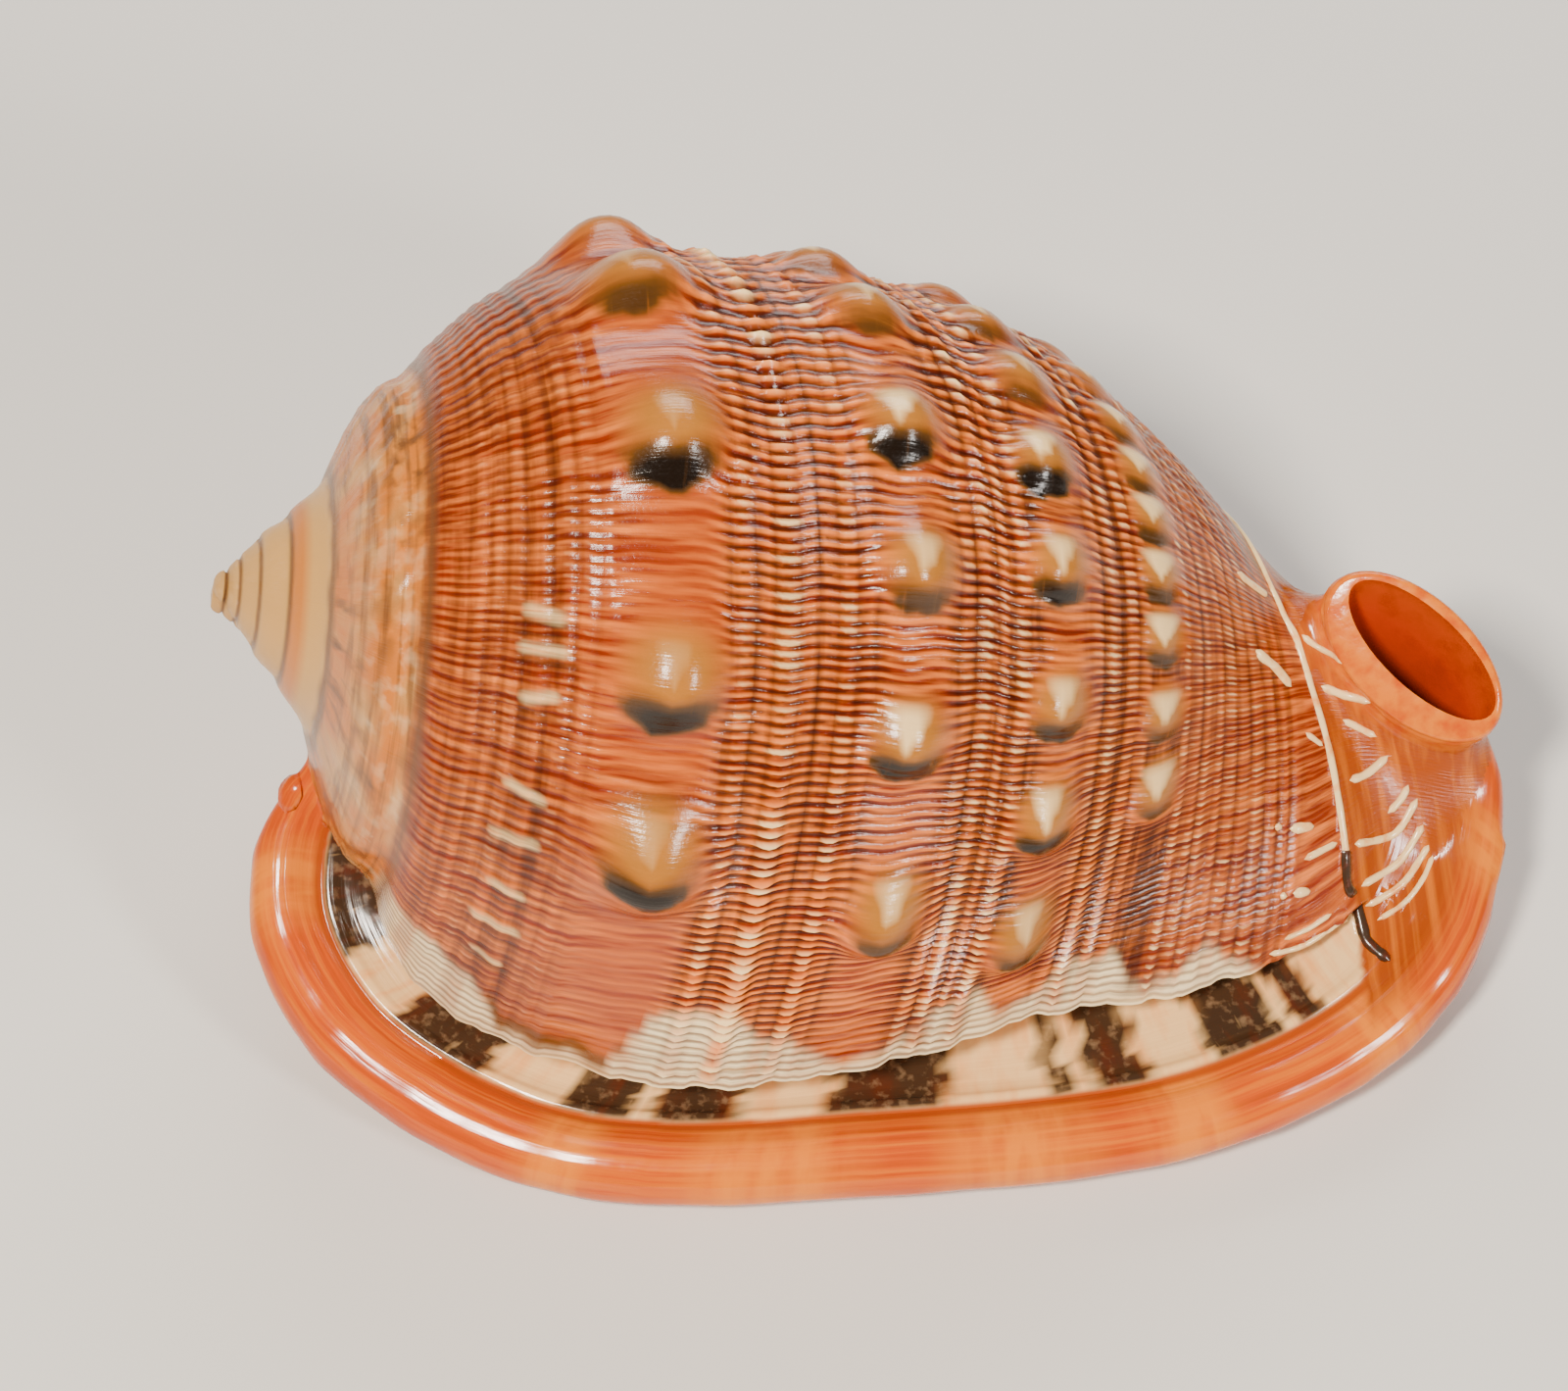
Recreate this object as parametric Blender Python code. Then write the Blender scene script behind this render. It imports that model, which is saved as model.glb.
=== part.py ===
"""A helmet shell: the empty shell of a large marine snail, lying aperture down.

The shell is one grown piece. Its whorls are drawn as radii about a coiling axis
that dips toward the canal. The thick outer lip and the recurved siphonal canal
are lofts that the body is joined to, and the living chamber, the toothed slot
and the bore of the canal are cut out of the whole.

X runs from the apex to the canal, Y toward the back, Z up from the table.
Lengths are in millimetres and angles in degrees until the mesh is made.
"""

import bmesh
import bpy
import numpy as np

MM = 0.001

# The point on the table under the middle of the shell, which becomes the origin.
MIDDLE = np.array((0.0, 1.6, 0.0))
# The coiling axis starts at the apex and dips toward the canal.
APEX = np.array((-70.3, 9.6, 45.0))
AXIS_DIP = np.radians(12.7)
AXIS = np.array((np.cos(AXIS_DIP), 0.0, -np.sin(AXIS_DIP)))
TOP = np.array((np.sin(AXIS_DIP), 0.0, np.cos(AXIS_DIP)))
LIPWARD = np.array((0.0, -1.0, 0.0))

# Distance along the axis, then radius of the last whorl at its top.
PROFILE = np.array((
    (0.0, 0.0), (1.9, 2.4), (4.8, 6.1), (8.3, 9.7), (11.2, 14.0), (13.4, 19.2),
    (15.7, 23.2), (19.0, 26.6), (23.0, 30.4), (28.0, 34.2), (35.0, 38.2), (41.0, 39.5),
    (52.0, 40.0), (62.0, 39.6), (72.0, 38.1), (84.0, 34.8), (94.0, 29.6), (104.0, 22.4),
    (113.0, 14.2), (120.0, 8.0), (127.0, 3.0)))
# The crest ends the last whorl beside the lip: distance, radius, angle from the top.
CREST = np.array((
    (18.0, 31.0, 128.0), (21.9, 38.4, 126.0), (26.2, 43.4, 123.0), (32.4, 46.8, 120.0),
    (39.6, 49.2, 117.5), (50.0, 51.6, 114.5), (66.4, 50.3, 110.7), (80.0, 47.0, 108.3),
    (90.8, 43.1, 106.7), (104.8, 41.0, 104.3), (115.8, 37.3, 102.0), (127.0, 31.5, 98.0)))
# Sutures of the spire: distance along the axis, step down, and how far it takes to recover.
SUTURES = ((4.5, 0.35, 1.9), (7.4, 0.5, 2.8), (11.2, 0.8, 3.6), (19.5, 0.9, 5.0))
# The last whorl starts at the last suture and ends at the front.
BODY_START = 19.5
BODY_END = 127.0
# How much the radius grows in a radian of the coil, on the last whorl and on the spire.
GROWTH = 0.035
SPIRE_GROWTH = 0.08
# The flare toward the crest: where it starts, how late it rises, and the fall behind the crest.
FLARE_START = -30.0
FLARE_POWER = ((85.0, 118.0), (8.0, 3.4))
CREST_DROP = 3.6
CREST_FALL_ANGLE = 50.0
# Where the lip side is joined to the parietal side of the same whorl.
JOIN_ANGLES = (148.0, 170.0)

# The spiral rows drift toward the canal as the whorl grows, by up to this share.
ROW_DRIFT = 0.045
ROW_DRIFT_ANGLE = 45.0
# Knob rows: distance along the axis at the top, height, share of it at the back, width, angles.
KNOB_ROWS = (
    (41.0, 4.4, 1.0, 5.8, (-106.0, -78.0, -48.0, -22.0, 10.0, 44.0, 73.0)),
    (65.3, 3.8, 0.7, 4.6, (-104.0, -82.0, -60.0, -39.0, -20.0, 5.0, 27.0, 51.0, 81.0)),
    (81.3, 2.8, 0.7, 4.0, (-100.0, -82.0, -64.0, -46.0, -28.0, -12.0, 6.0, 24.0, 46.0, 67.0, 90.0)),
    (94.8, 1.6, 0.7, 3.2, (-72.0, -57.0, -42.0, -28.0, -14.0, -2.0, 9.0, 21.0, 34.0, 50.0, 68.0)),
)
# A knob is steeper toward the lip than behind, and its flanks fall at this power.
KNOB_LEE = 1.25
KNOB_BACK = 0.8
KNOB_POWER = 1.2

# The callus that covers the parietal side: thickness, angle of its edge, its middle and length.
CALLUS = 3.2
CALLUS_EDGE = -103.0
CALLUS_MIDDLE = 68.0
CALLUS_LENGTH = 96.0
CALLUS_CURVE = 26.0

# The underside: lowest height, middle along the axis, half width in degrees of its flat,
# how fast it rises from there along and around, and how softly the whorl meets it.
FLOOR = -0.7
FLOOR_MIDDLE = 62.0
FLOOR_FLAT = 14.0
FLOOR_RISE_ALONG = 3.2 / 45.0 ** 2
FLOOR_RISE_AROUND = 2.6 / 40.0 ** 2
FLOOR_SOFTNESS = 2.5

# The lip: outermost point of the rolled rim (x, y, z), then the foot of its section (x, y).
LIP_PATH = np.array((
    (-60.5, 1.5, 25.0, -48.0, 2.0), (-65.5, -2.5, 20.5, -47.0, -3.0),
    (-69.3, -7.0, 16.0, -45.0, -7.0), (-70.0, -15.0, 11.8, -41.0, -10.0),
    (-66.8, -23.5, 9.0, -36.0, -11.5), (-61.0, -31.0, 6.9, -31.0, -12.0),
    (-50.5, -38.8, 5.0, -25.0, -12.0), (-38.9, -44.2, 4.3, -19.0, -12.0),
    (-24.2, -46.9, 4.1, -12.0, -12.0), (-5.0, -47.3, 4.1, 0.0, -12.0),
    (13.0, -47.2, 4.1, 11.0, -12.0), (29.1, -45.8, 4.3, 21.0, -11.0),
    (41.5, -42.6, 4.8, 29.0, -9.5), (51.5, -38.3, 5.6, 36.0, -7.5),
    (59.0, -33.0, 6.8, 41.0, -5.5), (64.6, -26.5, 8.8, 45.0, -4.0),
    (68.3, -18.5, 11.4, 49.0, -2.5), (70.2, -11.5, 14.2, 53.0, -1.0),
    (70.4, -6.5, 17.0, 56.0, 1.5)))
# Its section: the roll and the angles it spans, then the channel behind it.
ROLL_RADIUS = 4.1
ROLL_ANGLES = (-75.0, 125.0)
# Distance inward of points on the channel, and their height over the rim when open or filled.
CHANNEL_INWARD = (8.2, 9.2, 11.0, 15.0)
CHANNEL_OPEN = (2.6, 3.1, 2.7, 3.2, 4.0, 3.0)
CHANNEL_FILLED = (2.9, 3.1, 4.3, 7.2, 9.5, 9.0)
# Along the path, how far the channel is filled.
CHANNEL_FILL = np.array((
    (0.0, 0.9), (2.0, 0.35), (4.0, 0.0), (12.4, 0.0), (13.6, 0.15), (14.6, 0.65), (15.6, 1.0), (18.0, 1.0)))
# Where the underside of the lip leaves the roll, as a distance inward.
LIP_FLOOR_START = 11.5

# The canal, from its buried foot to its mouth: centre, long half-axis, short half-axis.
CANAL = np.array((
    ((38.0, 1.0, 1.2), (11.0, -5.0, 0.5), (2.0, 7.0, 0.2)),
    ((40.0, 0.5, 4.0), (18.0, -8.0, 0.5), (3.5, 13.5, 0.6)),
    ((48.0, -0.8, 11.5), (16.0, -9.0, -3.0), (4.5, 13.5, 1.2)),
    ((54.6, -1.2, 19.8), (12.3, -8.5, -5.0), (5.4, 10.2, 2.6)),
    ((57.9, 0.4, 27.4), (8.6, -7.6, -4.4), (4.6, 4.0, 3.4)),
    ((58.9, -0.3, 31.2), (7.9, -7.9, -3.7), (4.7, 2.9, 3.7))))
# Its bore, from the slot to past the mouth.
BORE = np.array((
    ((24.0, -8.0, 8.0), (0.0, 0.0, -4.5), (0.0, 3.6, 0.0)),
    ((42.0, -5.0, 9.0), (1.0, -1.0, -5.0), (0.0, 4.0, 0.5)),
    ((53.5, -1.0, 15.0), (4.0, -3.8, -4.6), (1.2, 3.4, 1.2)),
    ((58.1, 0.6, 24.1), (6.2, -6.2, -3.2), (2.6, 2.1, 2.0)),
    ((60.5, -0.1, 31.7), (7.1, -7.1, -3.3), (3.3, 2.0, 2.7)),
    ((59.6, -2.3, 35.3), (7.4, -7.4, -3.5), (3.5, 2.1, 2.8))))

# The chamber inside the last whorl: wall, angles it spans, angle over which it opens,
# then half-length and depth at its inner end and at the slot, and its middle.
WALL = 4.0
CHAMBER_ANGLES = (-60.0, 168.0)
CHAMBER_OPENING = 150.0
CHAMBER_HALF_LENGTH = (22.0, 41.0)
CHAMBER_MIDDLE = 62.0
CHAMBER_DEPTH = (5.0, 19.0)

# The slot in the underside: its ends, middle line, half width and how it narrows at the ends.
SLOT_ENDS = (-47.0, 47.0)
SLOT_Y = -9.0
SLOT_BEND = 0.0022
SLOT_HALF_WIDTH = 4.6
SLOT_TAPER = 0.45
SLOT_TOP = 10.0
# Teeth on the lip side and folds opposite: how many, how far they stand into the slot,
# how deep its edge is chamfered, and how far the chamfer reaches on them and between them.
SLOT_TEETH = 23
TOOTH = 0.9
FOLD = 0.6
EDGE_DEPTH = 1.9
EDGE_REACH = (2.4, 6.0)


def smooth(t):
    """Ease from 0 to 1 as t goes from 0 to 1."""
    t = np.clip(t, 0.0, 1.0)
    return t * t * (3.0 - 2.0 * t)


def through(keys, at):
    """Read a smooth curve through the rows of keys, whose first column is the place."""
    place = keys[:, 0]
    slopes = np.gradient(keys[:, 1:], place, axis=0)
    at = np.clip(np.asarray(at, float), place[0], place[-1])
    low = np.clip(np.searchsorted(place, at) - 1, 0, len(place) - 2)
    span = place[low + 1] - place[low]
    t = ((at - place[low]) / span)[..., None]
    span = span[..., None]
    return ((2 * t ** 3 - 3 * t ** 2 + 1) * keys[low, 1:]
            + (t ** 3 - 2 * t ** 2 + t) * span * slopes[low]
            + (3 * t ** 2 - 2 * t ** 3) * keys[low + 1, 1:]
            + (t ** 3 - t ** 2) * span * slopes[low + 1])


def coil_point(angle, along, radius):
    """Place a point by its angle from the top, its distance along the axis and its radius."""
    turn = np.radians(angle)
    along, radius = np.asarray(along), np.asarray(radius)
    return (APEX + along[..., None] * AXIS
            + (radius * np.cos(turn))[..., None] * TOP
            + (radius * np.sin(turn))[..., None] * LIPWARD)


def drifted(angle):
    """Stretch of the spiral rows toward the canal at an angle from the top."""
    return 1.0 + ROW_DRIFT * (1.0 - np.exp(-np.maximum(angle, -38.0) / ROW_DRIFT_ANGLE))


def knobs(angle, along, radius):
    """Height of the blunt knobs, steep on the side that faces the lip."""
    height = np.zeros(np.broadcast(angle, along).shape)
    for row_at, rise, back_share, width, angles in KNOB_ROWS:
        for knob_angle in angles:
            centre = row_at * drifted(knob_angle)
            full = np.interp(knob_angle, (-50.0, 10.0), (back_share, 1.0))
            around = np.radians(angle - knob_angle) * radius / width
            around = np.where(around > 0.0, around * KNOB_LEE, around * KNOB_BACK)
            distance = ((along - centre) / width) ** 2 + around ** 2
            height = np.maximum(height, full * rise * np.exp(-distance ** KNOB_POWER))
    return height


def whorl_radius(angle, along):
    """Radius of the shell before the underside is levelled, at one turn of the coil."""
    grown = SPIRE_GROWTH + (GROWTH - SPIRE_GROWTH) * smooth((along - BODY_START) / 8.0)
    profile = through(PROFILE, along)[..., 0]
    base = profile * np.exp(grown * np.radians(angle))
    crest = through(CREST, along)
    crest_radius, crest_angle = crest[..., 0], crest[..., 1]
    on_body = smooth((along - BODY_START) / 0.6 + 0.5)
    power = np.interp(along, *FLARE_POWER)
    reach = np.clip((angle - FLARE_START) / (crest_angle - FLARE_START), 0.0, 1.0)
    lift = crest_radius - profile * np.exp(grown * np.radians(crest_angle))
    radius = base + lift * reach ** power * on_body
    past = angle - crest_angle
    radius -= CREST_DROP * smooth(past / 2.0) * on_body
    radius -= (lift - CREST_DROP) * smooth((past - 2.0) / CREST_FALL_ANGLE) * on_body
    radius += knobs(angle, along, radius) * smooth(-past / 6.0)
    for place, step, recovery in SUTURES:
        radius -= step * smooth((place - along) / 0.6) * smooth((along - place + recovery) / (0.8 * recovery))
    edge = CALLUS_EDGE - CALLUS_CURVE * ((along - CALLUS_MIDDLE) / (0.5 * CALLUS_LENGTH)) ** 2
    on_callus = smooth((edge - angle) / 6.0) * smooth((BODY_END - 9.0 - along) / 8.0)
    return radius + CALLUS * on_callus


def body_radius(angle, along):
    """Radius of the finished outside: lip side and parietal side met, underside levelled."""
    joined = smooth((angle - JOIN_ANGLES[0]) / (JOIN_ANGLES[1] - JOIN_ANGLES[0]))
    radius = ((1.0 - joined) * whorl_radius(angle, along)
              + joined * whorl_radius(angle - 360.0, along))
    down = -np.cos(np.radians(angle)) * TOP[2]
    around = (angle + 360.0) % 360.0 - 180.0
    floor = (FLOOR + FLOOR_RISE_ALONG * (along - FLOOR_MIDDLE) ** 2
             + FLOOR_RISE_AROUND * np.clip(np.abs(around) - FLOOR_FLAT, 0.0, 50.0) ** 2)
    room = (APEX[2] + along * AXIS[2] - floor) / np.maximum(down, 0.05)
    gap = np.clip((radius - room) / FLOOR_SOFTNESS, -30.0, 30.0)
    return radius - FLOOR_SOFTNESS * np.log1p(np.exp(gap))


def body_points():
    """Rows of points from the apex to the front end, with one column along the crest."""
    along = np.concatenate((
        (1.9, 3.9, 4.6, 6.8, 7.5, 9.4, 10.7, 11.4, 13.6, 16.2, 18.9, 19.7, 21.4),
        np.arange(24.0, BODY_END, 2.9), (BODY_END,)))
    crest_column, drop_column = 110.0, 112.0
    column = np.concatenate((
        np.arange(-190.0, -100.0, 9.0), np.arange(-100.0, crest_column, 5.0),
        (crest_column, drop_column, 118.0, 128.0, 138.0, 148.0, 159.0)))
    sections = []
    for at in along:
        crest = through(CREST, at)[1]
        angle = np.interp(column, (60.0, crest_column, drop_column, 170.0), (60.0, crest, crest + 2.0, 170.0))
        angle = np.where(column < 60.0, column, angle)
        row = np.full(angle.shape, at)
        sections.append(coil_point(angle, row, body_radius(angle, row)))
    return np.array(sections)


def lip_points(stations):
    """Closed sections of the outer lip: rolled rim, groove, channel and buried foot."""
    count = len(LIP_PATH)
    keys = np.column_stack((np.arange(count), LIP_PATH))
    where = np.linspace(0.0, count - 1.0, stations)
    outer_foot = through(keys, where)
    fill = through(CHANNEL_FILL, where)[:, 0]
    sections = []
    for (x, y, z, foot_x, foot_y), filled in zip(outer_foot, fill):
        depth = np.hypot(foot_x - x, foot_y - y)
        inward = np.array((foot_x - x, foot_y - y)) / depth
        lifted = max(z - ROLL_RADIUS, 0.0)
        floor_in = (0.7 * depth, LIP_FLOOR_START)
        floor_up = (FLOOR + 0.75 * lifted, FLOOR + 0.95 * lifted)
        roll = np.radians(np.linspace(*ROLL_ANGLES, 8))
        roll_in = ROLL_RADIUS * (1.0 - np.cos(roll))
        roll_up = z + ROLL_RADIUS * np.sin(roll)
        top_in = np.array((*CHANNEL_INWARD, 0.8 * depth, depth))
        top_up = z + (1.0 - filled) * np.array(CHANNEL_OPEN) + filled * np.array(CHANNEL_FILLED)
        foot_up = min(floor_up[0] + 1.0, z)
        into = np.concatenate((floor_in, roll_in, top_in, (depth,)))
        up = np.concatenate((floor_up, roll_up, top_up, (foot_up,)))
        sections.append(np.column_stack((x + inward[0] * into, y + inward[1] * into, up)))
    return np.array(sections)


def oval_points(keys, stations, sides):
    """Oval sections read between keys of centre, long half-axis and short half-axis."""
    count = len(keys)
    keys = np.column_stack((np.arange(count), keys.reshape(count, 9)))
    turn = np.linspace(0.0, 2.0 * np.pi, sides, endpoint=False)[:, None]
    sections = []
    for row in through(keys, np.linspace(0.0, count - 1.0, stations)):
        centre, long_half, short_half = row.reshape(3, 3)
        sections.append(centre + np.cos(turn) * long_half + np.sin(turn) * short_half)
    return np.array(sections)


def canal_points():
    """The outside of the canal, its mouth's edge rounded over."""
    sections = oval_points(CANAL, 13, 24)
    mouth = sections[-1]
    middle = mouth.mean(axis=0)
    out = np.cross(mouth[6] - mouth[0], mouth[12] - mouth[6])
    out *= np.sign(out[2]) / np.linalg.norm(out)
    edge = middle + (mouth - middle) * 0.93 + 0.9 * out
    return np.concatenate((sections, edge[None]))


def chamber_points():
    """Crescent sections of the living chamber, from its inner end to the slot."""
    first, last = CHAMBER_ANGLES
    turn = np.linspace(0.0, 2.0 * np.pi, 16, endpoint=False)
    sections = []
    for angle in np.linspace(first, last, 15):
        opened = smooth((angle - first) / CHAMBER_OPENING)
        half_length = np.interp(opened, (0.0, 1.0), CHAMBER_HALF_LENGTH)
        depth = np.interp(opened, (0.0, 1.0), CHAMBER_DEPTH)
        along = CHAMBER_MIDDLE - half_length * np.cos(turn)
        outer = through(PROFILE, along)[:, 0] * np.exp(GROWTH * np.radians(angle)) - WALL
        down = max(-np.cos(np.radians(angle)) * TOP[2], 0.05)
        outer = np.minimum(outer, (APEX[2] + along * AXIS[2] - WALL) / down)
        sections.append(coil_point(angle, along, outer - 0.5 * depth * (1.0 - np.sin(turn))))
    return np.array(sections)


def slot_points():
    """Sections across the slot, with teeth on the lip side and folds on the other."""
    steps = 2 * SLOT_TEETH + 1
    sections = []
    for step, x in enumerate(np.linspace(*SLOT_ENDS, steps)):
        middle = SLOT_Y + SLOT_BEND * x * x
        taper = 1.0 - SLOT_TAPER * (abs(x) / SLOT_ENDS[1]) ** 4
        tooth = step % 2
        near = middle - SLOT_HALF_WIDTH * taper + TOOTH * tooth
        far = middle + SLOT_HALF_WIDTH * taper - FOLD * tooth
        reach = EDGE_REACH[0] if tooth else EDGE_REACH[1] * taper
        below = FLOOR - 0.8
        sections.append((
            (x, near - reach, below), (x, near, EDGE_DEPTH), (x, near, SLOT_TOP),
            (x, far, SLOT_TOP), (x, far, EDGE_DEPTH), (x, far + reach, below)))
    return np.array(sections)


def solid(name, sections, tips=None):
    """Skin closed rings of points into one solid, ending in given tips or flat caps."""
    sides = sections.shape[1]
    if tips is None:
        tips = sections[0].mean(axis=0), sections[-1].mean(axis=0)
    mesh = bmesh.new()
    rings = [[mesh.verts.new((point - MIDDLE) * MM) for point in ring] for ring in sections]
    for lower, upper in zip(rings, rings[1:]):
        for i in range(sides):
            j = (i + 1) % sides
            mesh.faces.new((lower[i], lower[j], upper[j], upper[i]))
    for ring, tip in ((rings[0], tips[0]), (rings[-1], tips[1])):
        centre = mesh.verts.new((tip - MIDDLE) * MM)
        for i in range(sides):
            mesh.faces.new((ring[i], ring[(i + 1) % sides], centre))
    bmesh.ops.recalc_face_normals(mesh, faces=mesh.faces)
    data = bpy.data.meshes.new(name)
    mesh.to_mesh(data)
    mesh.free()
    return bpy.data.objects.new(name, data)


def below_the_table():
    """A box whose top is the table, to cut the flats that the shell rests on."""
    mesh = bmesh.new()
    bmesh.ops.create_cube(mesh, size=1.0)
    bmesh.ops.scale(mesh, vec=(0.2, 0.2, 0.02), verts=mesh.verts)
    bmesh.ops.translate(mesh, vec=(0.0, 0.0, -0.01), verts=mesh.verts)
    data = bpy.data.meshes.new("table_cut")
    mesh.to_mesh(data)
    mesh.free()
    return bpy.data.objects.new("table_cut", data)


def shell_material():
    """Glossy orange-brown shell."""
    material = bpy.data.materials.new("shell")
    material.use_nodes = True
    shader = material.node_tree.nodes["Principled BSDF"]
    shader.inputs["Base Color"].default_value = (0.42, 0.11, 0.03, 1.0)
    shader.inputs["Roughness"].default_value = 0.25
    shader.inputs["Metallic"].default_value = 0.0
    return material


def combine(target, other, operation):
    """Join another solid to the target or cut it out, and keep it as a hidden guide."""
    modifier = target.modifiers.new(other.name, "BOOLEAN")
    modifier.operation = operation
    modifier.solver = "EXACT"
    modifier.object = other
    other.hide_render = True
    other.display_type = "WIRE"
    bpy.data.collections["helmet_shell_guides"].objects.link(other)


def main():
    """Build the shell."""
    for item in list(bpy.data.objects):
        bpy.data.objects.remove(item, do_unlink=True)
    parts = bpy.data.collections.new("helmet_shell")
    guides = bpy.data.collections.new("helmet_shell_guides")
    for collection in (parts, guides):
        bpy.context.scene.collection.children.link(collection)
    front = coil_point(0.0, BODY_END + 0.4, 0.0)
    shell = solid("shell", body_points(), (APEX, front))
    shell.data.materials.append(shell_material())
    shell.data.shade_smooth()
    parts.objects.link(shell)
    combine(shell, solid("lip", lip_points(46)), "UNION")
    combine(shell, solid("canal", canal_points()), "UNION")
    combine(shell, below_the_table(), "DIFFERENCE")
    hollow = solid("chamber", chamber_points())
    combine(hollow, solid("slot", slot_points()), "UNION")
    combine(hollow, solid("bore", oval_points(BORE, 12, 14)), "UNION")
    combine(shell, hollow, "DIFFERENCE")


if __name__ == "__main__":
    main()
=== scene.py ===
"""A helmet shell lying aperture down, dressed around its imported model.

The script is laid out as an add-on. One operator grows the shell from the same
formulas as its construction script, with the beads, threads and cords of its
surface added, and one sets the stage. Lengths are in millimetres and angles in
degrees until the mesh is made. X runs from the apex to the canal, Y toward the
back and Z up from the floor.
"""

import bmesh
import bpy
import mathutils.bvhtree
import numpy as np
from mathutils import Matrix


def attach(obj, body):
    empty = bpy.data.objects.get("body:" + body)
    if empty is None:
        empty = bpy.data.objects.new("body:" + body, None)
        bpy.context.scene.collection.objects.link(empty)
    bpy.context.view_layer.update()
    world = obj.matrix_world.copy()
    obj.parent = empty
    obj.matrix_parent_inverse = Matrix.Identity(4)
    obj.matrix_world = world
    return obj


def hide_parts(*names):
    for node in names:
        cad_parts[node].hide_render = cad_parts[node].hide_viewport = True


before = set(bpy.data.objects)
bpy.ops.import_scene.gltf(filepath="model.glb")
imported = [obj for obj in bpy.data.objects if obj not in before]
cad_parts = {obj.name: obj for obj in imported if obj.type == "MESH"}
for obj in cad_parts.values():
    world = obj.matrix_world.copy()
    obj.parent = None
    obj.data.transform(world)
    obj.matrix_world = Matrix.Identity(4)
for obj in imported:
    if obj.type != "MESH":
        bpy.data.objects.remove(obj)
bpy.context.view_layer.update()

bl_info = {
    "name": "Helmet Shell",
    "version": (1, 0, 0),
    "blender": (4, 5, 0),
    "location": "View3D > Sidebar > Helmet Shell",
    "description": "Grows a glossy helmet shell with beaded cords and knobs, and lights it",
    "category": "Add Mesh",
}

MM = 0.001
# Chooses which beads, knobs and dashes come out brighter.
SEED = 7

# The point on the floor under the middle of the shell, which is the origin.
MIDDLE = np.array((0.0, 1.6, 0.0))
# The coiling axis starts at the apex and dips toward the canal.
APEX = np.array((-70.3, 9.6, 45.0))
AXIS_DIP = np.radians(12.7)
AXIS = np.array((np.cos(AXIS_DIP), 0.0, -np.sin(AXIS_DIP)))
TOP = np.array((np.sin(AXIS_DIP), 0.0, np.cos(AXIS_DIP)))
LIPWARD = np.array((0.0, -1.0, 0.0))

# Distance along the axis, then radius of the last whorl at its top.
PROFILE = np.array((
    (0.0, 0.0), (1.9, 2.4), (4.8, 6.1), (8.3, 9.7), (11.2, 14.0), (13.4, 19.2),
    (15.7, 23.2), (19.0, 26.6), (23.0, 30.4), (28.0, 34.2), (35.0, 38.2), (41.0, 39.5),
    (52.0, 40.0), (62.0, 39.6), (72.0, 38.1), (84.0, 34.8), (94.0, 29.6), (104.0, 22.4),
    (113.0, 14.2), (120.0, 8.0), (127.0, 3.0)))
# The crest ends the last whorl beside the lip: distance, radius, angle from the top.
CREST = np.array((
    (18.0, 31.0, 128.0), (21.9, 38.4, 126.0), (26.2, 43.4, 123.0), (32.4, 46.8, 120.0),
    (39.6, 49.2, 117.5), (50.0, 51.6, 114.5), (66.4, 50.3, 110.7), (80.0, 47.0, 108.3),
    (90.8, 43.1, 106.7), (104.8, 41.0, 104.3), (115.8, 37.3, 102.0), (127.0, 31.5, 98.0)))
# Sutures of the spire: distance along the axis, step down, and how far it takes to recover.
SUTURES = ((4.5, 0.35, 1.9), (7.4, 0.5, 2.8), (11.2, 0.8, 3.6), (19.5, 0.9, 5.0))
# How far they wander along the axis.
SUTURE_WANDER = 0.12
# The last whorl starts at the last suture and ends at the front.
BODY_START = 19.5
BODY_END = 127.0
# How much the radius grows in a radian of the coil, on the last whorl and on the spire.
GROWTH = 0.035
SPIRE_GROWTH = 0.08
# The flare toward the crest: where it starts, how late it rises, and the fall behind the crest.
FLARE_START = -30.0
FLARE_POWER = ((85.0, 118.0), (8.0, 3.4))
CREST_DROP = 3.6
CREST_FALL_ANGLE = 50.0
# Where the lip side is joined to the parietal side of the same whorl.
JOIN_ANGLES = (148.0, 170.0)

# The spiral rows drift toward the canal as the whorl grows, by up to this share.
ROW_DRIFT = 0.045
ROW_DRIFT_ANGLE = 45.0
# Knob rows: distance along the axis at the top, height, share of it at the back, width, angles.
KNOB_ROWS = (
    (41.0, 4.4, 1.0, 5.8, (-106.0, -78.0, -48.0, -22.0, 10.0, 44.0, 73.0)),
    (65.3, 3.8, 0.7, 4.6, (-104.0, -82.0, -60.0, -39.0, -20.0, 5.0, 27.0, 51.0, 81.0)),
    (81.3, 2.8, 0.7, 4.0, (-100.0, -82.0, -64.0, -46.0, -28.0, -12.0, 6.0, 24.0, 46.0, 67.0, 90.0)),
    (94.8, 1.6, 0.7, 3.2, (-72.0, -57.0, -42.0, -28.0, -14.0, -2.0, 9.0, 21.0, 34.0, 50.0, 68.0)),
)
# A knob is steeper toward the lip than behind, and its flanks fall at this power.
KNOB_LEE = 1.25
KNOB_BACK = 0.8
KNOB_POWER = 1.2
# Knobs reach their full height between these angles. Their dark patch, partly painted shade under the knob,
# is strongest at the angles of the second line, with its strength below them, and all marks sit higher on the
# late knobs.
KNOB_GROWN = (-50.0, 10.0)
KNOB_SHADED = ((-50.0, 0.0, 90.0, 105.0), (0.15, 1.0, 1.0, 0.3))
LATE_KNOBS = (48.0, 75.0)
LATE_SHIFT = 0.6

# The callus that covers the parietal side: thickness, angle of its edge, its middle and length.
CALLUS = 3.2
CALLUS_EDGE = -103.0
CALLUS_MIDDLE = 68.0
CALLUS_LENGTH = 96.0
CALLUS_CURVE = 26.0

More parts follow.
